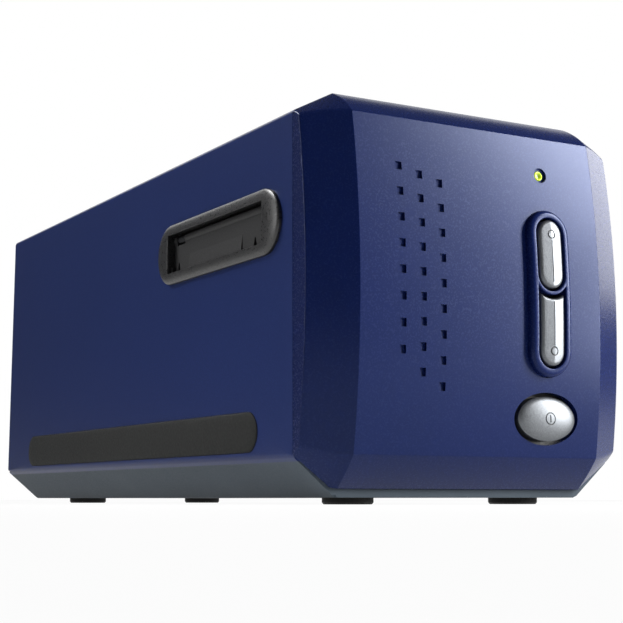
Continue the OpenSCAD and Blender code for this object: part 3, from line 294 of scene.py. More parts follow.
# Moulded stuffs have their tints, roughness, and the grain's size and depth in millimetres. Metals
# have their tints, roughness, the width of their lines in millimetres, and the way the lines run.
MATS = {
    "blue": blue_lacquer(),
    "bezel": eroded_blue(),
    # Silver-blue lacquer on the base: pale mica with a soft satin sheen
    "base": moulded("satin_blue_grey_mica_lacquer", "#434c54", "#4b545c", 0.56, 0.35, 0.008, shine=0.08),
    # Black ABS: the slot frames have the satin of a fine-blasted mould, the doors are matt
    "frame": moulded("satin_black_abs", "#0d0d0e", "#131314", 0.32, 0.35, 0.008, shine=0.7),
    "door": moulded("matt_black_abs", "#1a1a1b", "#222223", 0.50, 0.3, 0.012, shine=0.3),
    # Soft rubber, dulled by bloom
    "pad": moulded("dark_grey_grip_rubber", "#191a19", "#202120", 0.72, 0.45, 0.02, shine=0.2),
    "foot": moulded("black_foot_rubber", "#111111", "#1a1a1a", 0.7, 0.4, 0.02, shine=0.3),
    # Plain plastics inside, as they come from the mould
    "black": moulded("moulded_black_polycarbonate", "#171819", "#202123", 0.5, 0.5, 0.015),
    "white": moulded("white_reflector_plastic", "#d9dad6", "#e6e7e3", 0.5, 0.4, 0.008),
    "opal": moulded("opal_diffuser_acrylic", "#e4e6e3", "#f0f1ee", 0.35, 0.6, 0.006),
    "acetal": moulded("natural_acetal", "#cfcabb", "#dcd7c8", 0.42, 0.5, 0.008),
    # Ground ceramic of the chip's package
    "ceramic": moulded("grey_chip_ceramic", "#2b2d31", "#383b40", 0.55, 0.3, 0.008),
    # Turned, rolled and drawn metals, with the lines of that work
    "steel": worked_metal("bright_turned_steel", "#a3a6a9", "#bfc2c4", 0.3, 0.3, (1, 0.08, 1)),
    "sheet": worked_metal("zinc_plated_sheet_steel", "#9a9fa3", "#b6babc", 0.36, 1.2, (1, 1, 1)),
    "spring": worked_metal("drawn_spring_steel", "#8d8f91", "#adafb1", 0.25, 0.2, (1, 0.2, 1)),
    # Phosphated and oiled against rust, so it is nearly black
    "dark_spring": worked_metal("blackened_spring_steel", "#242527", "#303133", 0.4, 0.2, (1, 0.2, 1)),
    "brass": worked_metal("turned_brass", "#b59a55", "#cbb06a", 0.3, 0.3, (1, 0.1, 1)),
    # Die casting, evenly dulled by glass beads
    "alloy": worked_metal("blasted_die_cast_aluminium", "#7d8083", "#94979a", 0.55, 0.5, (1, 1, 1), 0.03),
    # Dyed oxide on turned aluminium, part of whose sheen shows through
    "anodised": moulded("black_anodised_aluminium", "#121316", "#1b1c20", 0.35, 0.3, 0.01, metallic=0.6),
    # Silver lacquer on the caps: very fine aluminium flake with a soft metallic sheen
    "silver": clouded("fine_silver_lacquer", {"Metallic": 0.85}, 0.22, 2, ("#65686c", "#787b7e"),
                      (0.38, 0.5), 0.01),
    # Coated lens glass with a faint blue-green cast, and front-silvered glass with the faintest haze
    "glass": clouded("coated_optical_glass", {"Transmission Weight": 1.0, "IOR": 1.6}, 6, 1,
                     ("#dfeee9", "#e9f3f4"), (0.02, 0.04)),
    "mirror": clouded("front_silvered_mirror", {"Metallic": 1.0}, 4, 2, ("#dcdfe2", "#e6e9eb"),
                      (0.02, 0.06)),
    "led": green_lens(),
    "board": circuit_board(),
}

FINISH = {
    "blue": ["upper_housing", "rear_panel"],
    "bezel": ["front_bezel", "button_surround"],
    "base": ["base_cover"],
    "frame": ["slot_frame_left", "slot_frame_right", "power_socket", "home_sensor"],
    "door": ["dust_door_left", "dust_door_right", "film_guide", "optics_cover"],
    "pad": ["grip_pad_left", "grip_pad_right"],
    "foot": ["foot_front_left", "foot_front_right", "foot_rear_left", "foot_rear_right"],
    "silver": ["upper_scan_button", "lower_scan_button", "power_button"],
    "black": ["upper_plunger", "lower_plunger", "power_plunger", "optics_carriage", "lamp_arm"],
    "led": ["indicator_lens"],
    "opal": ["indicator_lamp", "lamp_diffuser"],
    "white": ["lamp_housing", "lamp_board"],
    "acetal": ["drive_nut", "screw_gear"],
    "ceramic": ["line_sensor"],
    "steel": ["guide_rod_left", "guide_rod_right", "lead_screw",
              "housing_screws", "board_screws", "panel_screws"],
    "sheet": ["motor_bracket", "stepper_motor", "usb_socket", "tact_switches"],
    "spring": ["holder_detent", "lens_clamp"],
    "dark_spring": ["door_pin_left", "door_pin_right", "door_spring_left", "door_spring_right"],
    "brass": ["carriage_bushings", "motor_pinion"],
    "alloy": ["chassis"],
    "anodised": ["lens_barrel"],
    "glass": ["lens_glass"],
    "mirror": ["mirror"],
    "board": ["button_board", "sensor_board", "main_board"],
}
for key, names in FINISH.items():
    for name in names:
        slots = NODES[name].data.materials
        slots.clear()
        slots.append(MATS[key])


# ------------------------------------------------------------------ mesh tools

# Metres within which points are one
SAME = 2e-6
# What is left of an outline, in millimetres, where a loft closes to a line or a point
SLIVER = 1e-4


def as_object(name, mesh_or_bm, material):
    """Puts a mesh, or a bmesh, which is used up, into the scene as an object of one material."""
    if isinstance(mesh_or_bm, bmesh.types.BMesh):
        mesh = bpy.data.meshes.new(name)
        mesh_or_bm.to_mesh(mesh)
        mesh_or_bm.free()
    else:
        mesh = mesh_or_bm
        mesh.name = name
    mesh.materials.clear()
    mesh.materials.append(MATS[material])
    return placed(name, mesh)


def apply_modifiers(obj):
    """Turns what an object's modifiers make into its plain mesh."""
    graph = bpy.context.evaluated_depsgraph_get()
    mesh = bpy.data.meshes.new_from_object(obj.evaluated_get(graph))
    obj.modifiers.clear()
    old = obj.data
    obj.data = mesh
    bpy.data.meshes.remove(old)


def pairs_round(ring):
    """Each place in a ring with the next one."""
    return [(i, (i + 1) % len(ring)) for i in range(len(ring))]


def outline_prism(points, y0, y1):
    """Closed prism along Y over an outline in X and Z, in millimetres from the seam."""
    bm = bmesh.new()
    front, back = ([bm.verts.new(at(x, y, z)) for x, z in points] for y in (y0, y1))
    bm.faces.new(front)
    bm.faces.new(back[::-1])
    for i, j in pairs_round(front):
        bm.faces.new((front[j], front[i], back[i], back[j]))
    bmesh.ops.recalc_face_normals(bm, faces=bm.faces)
    return bm


def ring_prism(outer, inner, y0, y1):
    """Closed prism along Y over the space between two outlines with as many points."""
    bm = bmesh.new()
    loops = []
    for pts, y in ((outer, y0), (outer, y1), (inner, y1), (inner, y0)):
        loops.append([bm.verts.new(at(x, y, z)) for x, z in pts])
    for a, b in ((loops[k], loops[m]) for k, m in pairs_round(loops)):
        for i, j in pairs_round(outer):
            bm.faces.new((a[i], a[j], b[j], b[i]))
    bmesh.ops.recalc_face_normals(bm, faces=bm.faces)
    return bm


def oval(w, h, steps=72, x=0.0, z=0.0):
    """Outline of an oval."""
    turns = [math.tau * i / steps for i in range(steps)]
    return [(x + w / 2 * math.cos(a), z + h / 2 * math.sin(a)) for a in turns]


def stadium(w, h, steps=32, x=0.0, z=0.0, sides=0):
    """Outline of an upright or lying stadium, with some points on its straight sides."""
    r = max(min(w, h), 0) / 2
    dx, dz = max(w / 2 - r, 0), max(h / 2 - r, 0)
    start = 0 if h >= w else -90
    pts = []
    for end in (1, -1):
        for i in range(steps + 1):
            a = math.radians(start + 180 * i / steps + (0 if end > 0 else 180))
            pts.append((x + end * dx + r * math.cos(a), z + end * dz + r * math.sin(a)))
        for i in range(sides):
            t = 1 - 2 * (i + 1) / (sides + 1)
            pts.append((pts[-1 - i][0] + (t - 1) * end * dx, pts[-1 - i][1] + (t - 1) * end * dz))
    return pts


def rectangle(w, h):
    """Outline of a rectangle about the origin."""
    return [(-w / 2, -h / 2), (w / 2, -h / 2), (w / 2, h / 2), (-w / 2, h / 2)]


def quarter(width, rise, base=0.0, steps=10):
    """Quarter-round profile from a wall over into a face: pairs of distance from the edge and height.
    A width below 0 rounds the rim of a hole, whose outline grows."""
    turn = [math.pi / 2 * i / steps for i in range(steps + 1)]
    return [(width * (1 - math.cos(a)), base + rise * math.sin(a)) for a in turn]


def skinned(bm, rings, lid=True):
    """Closes a solid from rings of points: walls between them, a base, and a lid unless it isn't wanted."""
    for low, high in zip(rings, rings[1:]):
        for i, j in pairs_round(low):
            bm.faces.new((low[i], low[j], high[j], high[i]))
    bm.faces.new(rings[0][::-1])
    if lid:
        bm.faces.new(rings[-1])


def lofted(place, outline_at, profile, face=None, collapsed=False):
    """Closed solid through outlines at several distances from the edge, each raised to its height.

    place turns (u, v, height) into a point, and face adds the height of a curved face at (u, v).
    A loft whose last outline has collapsed to a line or a point needs no lid there."""
    bm = bmesh.new()
    rings = []
    for i, (d, height) in enumerate(profile):
        lift = face if i and face else lambda u, v: 0
        rings.append([bm.verts.new(place(u, v, height + lift(u, v))) for u, v in outline_at(d)])
    skinned(bm, rings, lid=not collapsed)
    bmesh.ops.remove_doubles(bm, verts=bm.verts, dist=SAME)
    bmesh.ops.dissolve_degenerate(bm, edges=bm.edges, dist=SAME / 2)
    bmesh.ops.recalc_face_normals(bm, faces=bm.faces)
    return bm


def dome(name, material, place, outline_at, profile, face=None):
    """A loft that closes to a line or a point, as an object."""
    return as_object(name, lofted(place, outline_at, profile, face, collapsed=True), material)


def joined(name, parts, material):
    """One object from several bmesh solids."""
    whole = bmesh.new()
    for part in parts:
        mesh = bpy.data.meshes.new("part")
        part.to_mesh(mesh)
        part.free()
        whole.from_mesh(mesh)
        bpy.data.meshes.remove(mesh)
    return as_object(name, whole, material)


def merged(first, second, material=None):
    """Puts the second object's mesh into the first one, where it keeps a material of its own."""
    if material:
        first.data.materials.append(MATS[material])
        for poly in second.data.polygons:
            poly.material_index = 1
    bm = bmesh.new()
    bm.from_mesh(first.data)
    bm.from_mesh(second.data)
    bm.to_mesh(first.data)
    bm.free()
    bpy.data.objects.remove(second)


def carved(obj, tools, operation="DIFFERENCE"):
    """Cuts other objects away, or joins them, and uses them up."""
    for tool in tools:
        mod = obj.modifiers.new("carve", "BOOLEAN")
        mod.operation = operation
        mod.solver = "EXACT"
        mod.object = tool
        apply_modifiers(obj)
        bpy.data.objects.remove(tool)


def crease(mesh, degrees):
    """Smooth shading that breaks at edges sharper than the given angle."""
    bm = bmesh.new()
    bm.from_mesh(mesh)
    limit = math.radians(degrees)
    for face in bm.faces:
        face.smooth = True
    for edge in bm.edges:
        edge.smooth = len(edge.link_faces) == 2 and edge.calc_face_angle(0) < limit
    bm.to_mesh(mesh)
    bm.free()


def eased(node, name, material, width_mm, weight):
    """A merged copy of a CAD node, shown in its place, with its sharp edges rounded as weight says."""
    sharp_angle, flat_angle = math.radians(30), math.radians(0.02)
    mesh = NODES[node].data.copy()
    if "custom_normal" in mesh.attributes:
        mesh.attributes.remove(mesh.attributes["custom_normal"])
    bm = bmesh.new()
    bm.from_mesh(mesh)
    bmesh.ops.remove_doubles(bm, verts=bm.verts, dist=SAME)
    bmesh.ops.dissolve_limit(bm, angle_limit=flat_angle, verts=bm.verts, edges=bm.edges)
    layer = bm.edges.layers.float.new("bevel_weight_edge")
    for edge in bm.edges:
        sharp = len(edge.link_faces) == 2 and edge.calc_face_angle(0) > sharp_angle
        edge[layer] = weight(*(v.co for v in edge.verts)) if sharp else 0.0
    bm.to_mesh(mesh)
    bm.free()
    obj = as_object(name, mesh, material)
    mod = obj.modifiers.new("ease", "BEVEL")
    mod.limit_method = "WEIGHT"
    mod.width = width_mm * MM
    mod.segments = 3
    mod.use_clamp_overlap = False
    mod.miter_outer = "MITER_ARC"
    apply_modifiers(obj)
    crease(obj.data, 35)
    lean = obj.modifiers.new("lean", "WEIGHTED_NORMAL")
    lean.keep_sharp = True
    lean.weight = 80
    apply_modifiers(obj)
    return obj


def shown(obj, body, node):
    """Rides a finished piece on its body in the place of a CAD node."""
    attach(obj, body)
    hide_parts(node)


# ------------------------------------------------------------------ front bezel
#
# The bezel is the solid that several simple convex solids have in common. Each of them is a function
# that takes points (an array, in millimetres from the seam) and gives their distances outside it and
# the outward directions. A dense closed mesh is then drawn onto the rounded surface.

# Points inside the bezel and inside the housing behind it, which tell outwards from inwards
CORE, REAR_CORE = (0, 0, MID_Z), (0, 30, MID_Z)


def panel_y(z, depth=0.0):
    """Y of the front panel's face at a height, or of a layer below it."""
    return BULGE_Y - math.sqrt((BULGE_R - depth) ** 2 - (z - BULGE_Z) ** 2)


def half_space(point, normal):
    """All that lies on the core's side of a plane."""
    point, normal = np.array(point, float), np.array(normal, float)
    normal = normal / np.linalg.norm(normal)
    if normal @ (point - CORE) < 0:
        normal = -normal
    return lambda q: ((q - point) @ normal, np.tile(normal, (len(q), 1)))


def round_bar(centre, axis, radius):
    """An endless cylinder."""
    centre, axis = np.array(centre, float), np.array(axis, float)
    axis = axis / np.linalg.norm(axis)

    def outside(q):
        v = q - centre
        v = v - np.outer(v @ axis, axis)
        away = np.linalg.norm(v, axis=1)
        return away - radius, v / away[:, None]

    return outside


def barrel_facet(rear, front, axis, turn):
    """A facet between two lines along axis, bulging so far that its direction turns by turn degrees."""
    rear, front = np.array(rear, float), np.array(front, float)
    axis = np.array(axis, float) / np.linalg.norm(axis)
    across = front - rear
    across = across - axis * (across @ axis)
    span = np.linalg.norm(across)
    across = across / span
    outward = np.cross(axis, across)
    middle = rear + across * span / 2
    if outward @ (middle - REAR_CORE) < 0:
        outward = -outward
    half = math.radians(turn / 2)
    radius = span / 2 / math.sin(half)
    centre = middle - outward * radius * math.cos(half)

    def outside(q):
        v = q - centre
        angle = np.clip(np.arctan2(v @ across, v @ outward), -half, half)
        way = np.outer(np.cos(angle), outward) + np.outer(np.sin(angle), across)
        return (v * way).sum(1) - radius, way

    return outside


def cheek(side):
    """Cone about the panel's long axis, on which the panel's bent side strips lie."""
    slope = CHEEK_D / CHEEK_W
    share = 1 / math.hypot(1, slope)

    def outside(q):
        v = (q - (0, BULGE_Y, BULGE_Z)) * (0, 1, 1)
        away = np.linalg.norm(v, axis=1)
        reach = (away - BULGE_R + (side * q[:, 0] - FLAT_HALF) * slope) * share
        return reach, v / away[:, None] * share + np.array([side * slope * share, 0, 0])

    return outside


def common(first, second, radius):
    """What two convex solids have in common, with the edge between them rounded."""

    def outside(q):
        (a, na), (b, nb) = first(q), second(q)
        across = np.clip((na * nb).sum(1), -0.99, 0.9999)
        u, v = a + radius, b + radius
        part = 1 - across**2
        ka, kb = (u - across * v) / part, (v - across * u) / part
        way = ka[:, None] * na + kb[:, None] * nb
        length = np.linalg.norm(way, axis=1) + 1e-12
        on_arc = (ka > 0) & (kb > 0)
        flat = np.where((a > b)[:, None], na, nb)
        return (
            np.where(on_arc, length - radius, np.maximum(a, b)),
            np.where(on_arc[:, None], way / length[:, None], flat),
        )

    return outside


# Facets above and below the panel: height on the sides, on the flat and at the panel, and bulge
FACETS = [(SIDE_HIGH, TOP_Z, PANEL_TOP, TOP_TURN), (SIDE_LOW, BEZEL_LOW, PANEL_LOW, LOW_TURN)]
ACROSS, REARWARDS = (1, 0, 0), (0, 1, 0)


def bezel_surface():
    """The bezel's rounded outside: panel, cheeks, bulging facets and the walls of the housing's section."""
    panel = round_bar((0, BULGE_Y, BULGE_Z), ACROSS, BULGE_R)
    for _, z_flat, z_edge, turn in FACETS:
        facet = barrel_facet((0, 0, z_flat), (0, panel_y(z_edge), z_edge), ACROSS, turn)
        panel = common(panel, facet, FACET_ROUND)
    crown, sill = half_space((0, 0, TOP_Z), (0, 0, 1)), half_space((0, 0, BEZEL_LOW), (0, 0, -1))
    shell = common(crown, sill, LONG_ROUND)
    for s in (-1, 1):
        face = cheek(s)
        for z_side, z_flat, z_edge, turn in FACETS:
            outer, inner = (s * HALF_W, 0, z_side), (s * FLAT_HALF, 0, z_flat)
            cut = (outer[0] - inner[0], 0, outer[2] - inner[2])
            shell = common(shell, half_space(outer, np.cross(cut, REARWARDS)), LONG_ROUND)
            front = (s * FLAT_HALF, panel_y(z_edge), z_edge)
            face = common(face, barrel_facet(inner, front, cut, turn), CORNER_ROUND)
        shell = common(shell, half_space((s * HALF_W, 0, MID_Z), (s, 0, 0)), LONG_ROUND)
        panel = common(panel, face, CHEEK_ROUND)
    return common(common(panel, shell, FRONT_ROUND), half_space(CORE, REARWARDS), SEAM_ROUND)


def bezel_planes(depth):
    """The bezel's flat faces as a point and an outward normal, moved inwards by depth."""
    crown, sill = Vector((0, 0, TOP_Z)), Vector((0, 0, BEZEL_LOW))
    faces = [(crown, Vector((0, 0, 1))), (sill, Vector((0, 0, -1)))]
    for _, z_flat, z_edge, _ in FACETS:
        flat = Vector((0, 0, z_flat))
        faces.append((flat, Vector(ACROSS).cross(Vector((0, panel_y(z_edge), z_edge)) - flat)))
    for s in (-1, 1):
        faces.append((Vector((s * HALF_W, 0, MID_Z)), Vector((s, 0, 0))))
        for z_side, z_flat, z_edge, _ in FACETS:
            outer = Vector((s * HALF_W, 0, z_side))
            inner = Vector((s * FLAT_HALF, 0, z_flat))
            front = Vector((s * FLAT_HALF, panel_y(z_edge), z_edge))
            faces.append((outer, (inner - outer).cross(Vector(REARWARDS))))
            faces.append((outer, (inner - outer).cross(front - outer)))
    for point, normal in faces:
        normal.normalize()
        if normal.dot(point - Vector(CORE)) < 0:
            normal.negate()
        yield point - normal * depth, normal


def cut_by(bm, point, normal, keep_all=True):
    """Draws the line of a plane on a mesh, or cuts the mesh off at it and closes it again."""
    cut = bmesh.ops.bisect_plane(
        bm, geom=bm.verts[:] + bm.edges[:] + bm.faces[:], dist=1e-4, plane_co=point,
        plane_no=normal, clear_outer=not keep_all,
    )
    if not keep_all:
        rim = [e for e in cut["geom_cut"] if isinstance(e, bmesh.types.BMEdge)]
        bmesh.ops.edgeloop_fill(bm, edges=rim)


# Blank that the bezel's form is cut from: half width, rear end, and the arc of its front in degrees
BLANK_HALF, BLANK_REAR, BLANK_ARC, BLANK_STEPS = 62, 12, 23, 36


def bezel_form(depth, back):
    """The bezel's form with sharp edges, its faces moved inwards by depth, cut off at y = back."""
    bm = bmesh.new()
    lean = math.hypot(CHEEK_W, CHEEK_D)
    panel_r = BULGE_R - depth
    panel_half = FLAT_HALF - (lean - CHEEK_W) / CHEEK_D * depth
    edge_r = panel_r - (BLANK_HALF - panel_half) * CHEEK_D / CHEEK_W
    profile = ((-BLANK_HALF, edge_r), (-panel_half, panel_r), (panel_half, panel_r), (BLANK_HALF, edge_r))
    rings = []
    for i in range(BLANK_STEPS + 1):
        a = math.radians(-BLANK_ARC / 2 + BLANK_ARC * i / BLANK_STEPS)
        z = BULGE_Z + panel_r * math.sin(a)
        ring = [(x, BULGE_Y - r * math.cos(a), BULGE_Z + r * math.sin(a)) for x, r in profile]
        ring = [(-BLANK_HALF, BLANK_REAR, z), *ring, (BLANK_HALF, BLANK_REAR, z)]
        rings.append([bm.verts.new(p) for p in ring])
    skinned(bm, rings)
    bmesh.ops.recalc_face_normals(bm, faces=bm.faces)
    for point, normal in bezel_planes(depth):
        cut_by(bm, point, normal, keep_all=False)
    cut_by(bm, (0, back, MID_Z), (0, 1, 0), keep_all=False)
    bmesh.ops.remove_doubles(bm, verts=bm.verts, dist=1e-4)
    bmesh.ops.recalc_face_normals(bm, faces=bm.faces)
    return bm


def to_row_frame(bm):
    """Turns a mesh made in millimetres from the seam into metres in the row frame."""
    move = Matrix.Scale(MM, 4) @ Matrix.Translation((0, SEAM_Y, 0))
    bmesh.ops.transform(bm, matrix=move, verts=bm.verts)


# Distances of the cuts that follow an edge on either side, where its rounding bends most
EDGE_CUTS = (0.12, 0.3, 0.6, 1.1)


def beside(value, side):
    """Cuts on one side of an edge: below it for -1, above it for 1."""
    return [value + side * s for s in EDGE_CUTS]


def around(value):
    """Cuts on both sides of an edge and along it."""
    return [*beside(value, -1), value, *beside(value, 1)]


def spaced(start, step, count):
    """Evenly spaced cuts over a bulging face."""
    return [start + step * i for i in range(count)]


def bezel_skin(surface):
    """The sharp form, cut into small faces where it bends, and drawn onto the rounded surface."""
    bm = bezel_form(0, 0)
    for x in spaced(FLAT_HALF + 2.3, 1.9, 5) + around(FLAT_HALF) + beside(HALF_W, -1):
        cut_by(bm, (x, 0, 0), (1, 0, 0))
        cut_by(bm, (-x, 0, 0), (1, 0, 0))
    facets = spaced(TOP_Z - 20, 0.8, 25) + spaced(BEZEL_LOW, 0.8, 22)[1:]
    edges = beside(TOP_Z, -1) + beside(BEZEL_LOW, 1) + around(PANEL_TOP) + around(PANEL_LOW)
    for z in facets + spaced(PANEL_LOW + 3, 3.4, 24) + edges:
        cut_by(bm, (0, 0, z), (0, 0, 1))
    for y in (-0.1, -0.2, -0.35, -0.6, *spaced(-1.2, -0.45, 16)):
        cut_by(bm, (0, y, 0), (0, 1, 0))
    for depth in (0.12, 0.3, 0.55, 0.9):
        for point, normal in bezel_planes(depth):
            if abs(normal.x) > 0.1 and abs(normal.z) > 0.1:
                cut_by(bm, point, normal)
    bmesh.ops.remove_doubles(bm, verts=bm.verts, dist=0.02)
    bmesh.ops.dissolve_degenerate(bm, edges=bm.edges, dist=0.01)
    points = np.array([v.co[:] for v in bm.verts])
    passes, stride = 12, 0.4
    for _ in range(passes):
        away, way = surface(points)
        points -= np.clip(away, -stride, stride)[:, None] * way
    for vert, p in zip(bm.verts, points):
        vert.co = p
    to_row_frame(bm)
    return as_object("bezel", bm, "bezel")


def smooth_normals(obj, surface):
    """Takes the shading of the faces that lie on the surface from the surface itself."""
    on_surface, same_way = 0.02, 0.8
    mesh = obj.data
    crease(mesh, 32)
    points = np.array([v.co[:] for v in mesh.vertices]) / MM - (0, SEAM_Y, 0)
    away, way = surface(points)
    normals = [tuple(c.vector) for c in mesh.corner_normals]
    for poly in mesh.polygons:
        for k in poly.loop_indices:
            v = mesh.loops[k].vertex_index
            if abs(away[v]) < on_surface and way[v] @ np.array(poly.normal) > same_way:
                normals[k] = tuple(way[v])
    mesh.normals_split_custom_set(normals)


# Columns of dimples: X, height of the top one, spacing and number
DIMPLES = [(-29.7, 98.55, 7.78, 8), (-22.6, 96.55, 7.34, 9), (-15.45, 94.55, 7.58, 9)]
DIMPLE_W, DIMPLE_H, DIMPLE_DEPTH = 2.2, 2.5, 0.8
# Length of the blocks that sink them
BLOCK_L = 6.4


def dimple_cutters():
    """Little blocks that sink the dimple field, one per dimple, made by a node tree on a point list."""
    mesh = bpy.data.meshes.new("dimple_points")
    points = []
    for x, top, pitch, count in DIMPLES:
        for i in range(count):
            z = top - i * pitch
            points.append(at(x, panel_y(z) - BLOCK_L / 2 + DIMPLE_DEPTH, z))
    mesh.from_pydata(points, [], [])
    carrier = placed("dimple_cutters", mesh)
    tree = bpy.data.node_groups.new("blocks_on_points", "GeometryNodeTree")
    new_socket = tree.interface.new_socket
    new_socket("Geometry", in_out="INPUT", socket_type="NodeSocketGeometry")
    size = new_socket("Block Size", in_out="INPUT", socket_type="NodeSocketVector")
    new_socket("Geometry", in_out="OUTPUT", socket_type="NodeSocketGeometry")
    inlet = put(tree, "NodeGroupInput")
    block = put(tree, "GeometryNodeMeshCube", links={"Size": inlet.outputs["Block Size"]})
    links = {"Points": inlet.outputs["Geometry"], "Instance": block.outputs["Mesh"]}
    spread = put(tree, "GeometryNodeInstanceOnPoints", links=links)
    real = put(tree, "GeometryNodeRealizeInstances", links={"Geometry": spread.outputs[0]})
    links = {"Geometry": real.outputs[0]}
    finish = put(tree, "GeometryNodeSetMaterial", {"Material": MATS["bezel"]}, links)
    put(tree, "NodeGroupOutput", links={"Geometry": finish.outputs[0]})
    mod = carrier.modifiers.new("blocks", "NODES")
    mod.node_group = tree
    mod[size.identifier] = (DIMPLE_W * MM, BLOCK_L * MM, DIMPLE_H * MM)
    apply_modifiers(carrier)
    return carrier


def section(low, depth):
    """Octagon of the body's section, moved inwards by depth."""
    pts = [(-FLAT_HALF, low), (FLAT_HALF, low), (HALF_W, SIDE_LOW), (HALF_W, SIDE_HIGH),
           (FLAT_HALF, TOP_Z), (-FLAT_HALF, TOP_Z), (-HALF_W, SIDE_HIGH), (-HALF_W, SIDE_LOW)]
    out = []
    for i, p in enumerate(pts):
        a, b = pts[i - 1], pts[(i + 1) % 8]
        n1 = Vector((p[1] - a[1], a[0] - p[0])).normalized()
        n2 = Vector((b[1] - p[1], p[0] - b[0])).normalized()
        m = (n1 + n2) / (1 + n1.dot(n2))
        out.append((p[0] - depth * m.x, p[1] - depth * m.y))
    return out


# Openings of the panel: play round the button frame, gap round the power button, and the bore of the
# light pipe with the wider seat of its collar
FRAME_PLAY, POWER_GAP = 0.2, (2.8, 2.5)
PIPE_BORE, PIPE_SEAT, PIPE_SEAT_AT = 3.2, 4.8, 0.9
# Y at which the cutters for them start and end, and at which the hollow ends, open behind the seam
TOOL_FRONT, TOOL_BACK, HOLLOW_BACK = -24, -6, 6
# Rim that reaches from the bezel into housing and tray: thickness, reach, bite into the bezel, play,
# root in the bezel, and overlap of its two parts at the seam
LIP_THICK, LIP_REACH, LIP_BITE, LIP_PLAY = 1.3, 4.0, 0.4, 0.1
LIP_ROOT, LIP_LAP = -2.0, 0.05


def panel_tool(outline, back=TOOL_BACK):
    """Cutter through the front panel."""
    return as_object("tool", outline_prism(outline, TOOL_FRONT, back), "bezel")


def make_bezel():
    """The hollow bezel with its openings and dimples, and the rim that goes into housing and tray."""
    surface = bezel_surface()
    skin = bezel_skin(surface)
    hollow = bezel_form(WALL, HOLLOW_BACK)
    to_row_frame(hollow)
    power_w, power_h = POWER_W + POWER_GAP[0], POWER_H + POWER_GAP[1]
    seat = panel_y(LAMP_Z) + PIPE_SEAT_AT
    carved(skin, [
        as_object("hollow", hollow, "bezel"),
        panel_tool(stadium(BANK_W + FRAME_PLAY, BANK_H + FRAME_PLAY, x=BUTTON_X, z=BANK_Z)),
        panel_tool(oval(power_w, power_h, 96, BUTTON_X, POWER_Z)),
        panel_tool(oval(PIPE_BORE, PIPE_BORE, 48, BUTTON_X, LAMP_Z)),
        panel_tool(oval(PIPE_SEAT, PIPE_SEAT, 48, BUTTON_X, LAMP_Z), seat),
        dimple_cutters(),
    ])
    lip_inside = WALL + LIP_THICK
    lip = joined("bezel_lip", [
        ring_prism(section(BEZEL_LOW, WALL - LIP_BITE), section(BEZEL_LOW, lip_inside), LIP_ROOT, 0),
        ring_prism(section(BASE_Z, WALL + LIP_PLAY), section(BASE_Z, lip_inside), -LIP_LAP, LIP_REACH),
    ], "bezel")
    merged(skin, lip)
    smooth_normals(skin, surface)
    shown(skin, "body", "front_bezel")


make_bezel()


# ------------------------------------------------------------------ housing and base


def long_edge_weight(a, b):
    """1 for the housing's long edges, which are rounded, and 0 for its other edges."""

    def on_long_edge(p):
        x, z = abs(p.x) / MM, p.z / MM
        near = 0.02
        on_side = abs(x - HALF_W) < near and min(abs(z - SIDE_HIGH), abs(z - SIDE_LOW)) < near
        on_flat = abs(x - FLAT_HALF) < near and min(abs(z - TOP_Z), abs(z - BASE_Z)) < near
        return on_side or on_flat

    runs_along = abs(a.y - b.y) > 1e-4
    return float(runs_along and on_long_edge(a) and on_long_edge(b))


housing = eased("upper_housing", "housing", "blue", LONG_ROUND, long_edge_weight)
shown(housing, "body", "upper_housing")
tray = eased("base_cover", "base_tray", "base", LONG_ROUND, long_edge_weight)
shown(tray, "body", "base_cover")


# ------------------------------------------------------------------ buttons

# Keys: half width, gap round them, height of the ridge above the panel, and slope of the roof
KEY_HALF, KEY_GAP = 4.45, 0.85
KEY_TOP, KEY_SLOPE = 3.1, 0.125
# Rounded shoulder of their roofs: width and height
KEY_ROUND, KEY_DROP = 1.1, 1.0
# Both ends of the upper key and the lower end of the other one
UPPER_KEY = (65.2, 86.55)
LOWER_KEY = 41.45
# Round bar between the keys, which bounds the lower one from above
BAR_Z, BAR = 69.65, 1.1
# Frame round the keys: how far it stands out, its shoulder, the rounding of its holes, and the
# thickness and reach of its flange
BANK_PROUD, BANK_ROUND, RIM_ROUND = 2.3, 1.5, 0.3
BANK_FLANGE, BANK_REACH = 1.6, 1.8
# Depth of the keys' flanges below the panel's face
KEY_FLANGE = WALL + 1.75
# Stems that press the plungers: height, both ends and width
STEM_Z = {"upper": 76.4, "lower": 52.0}
STEM_FRONT, STEM_END, STEM_WIDE = -12, -6.7, 4.4
# Marks: inner and outer width of the rings on keys and power button, width of the engraved lines
KEY_RING, POWER_RING = (2.1, 2.9), (3.2, 3.9)
RIDGE_LINE, POWER_BAR, POWER_BAR_HALF = 0.3, 0.4, 1.1
MARK_DEPTH, RIDGE_DEPTH, POWER_MARK_DEPTH = 0.75, 0.55, 0.6
# Where ring and ridge line lie, counted from a key's round end; and the line's other end on each key
RING_IN, LINE_IN, UPPER_LINE_END, LOWER_LINE_END = 4.5, 6.2, 67.2, 61.2
# Dark fill of the marks: its depth below keys and power button, and how far it goes into them
KEY_FILL, POWER_FILL, FILL_BITE = 0.35, 0.3, 0.2
# Power button: height of its dome above the panel, fall towards the rim, and roll-off at the rim;
# flange behind the panel: its distance, how much wider and taller it is, and its thickness
CROWN, CROWN_FALL, CROWN_EDGE = 2.1, 1.35, 0.65
CAP_FLANGE_AT, CAP_FLANGE_WIDER, CAP_FLANGE_TALLER, CAP_FLANGE_THICK = 1.4, 5.4, 3.4, 1
# Light pipe: radius, depth below the panel's face, and length
LENS_R, LENS_IN, LENS_L = 1.48, 0.75, 9.0


def on_panel(u, v, height):
    """A place on the front panel, height millimetres out of its face."""
    return at(u, panel_y(v) - height, v)


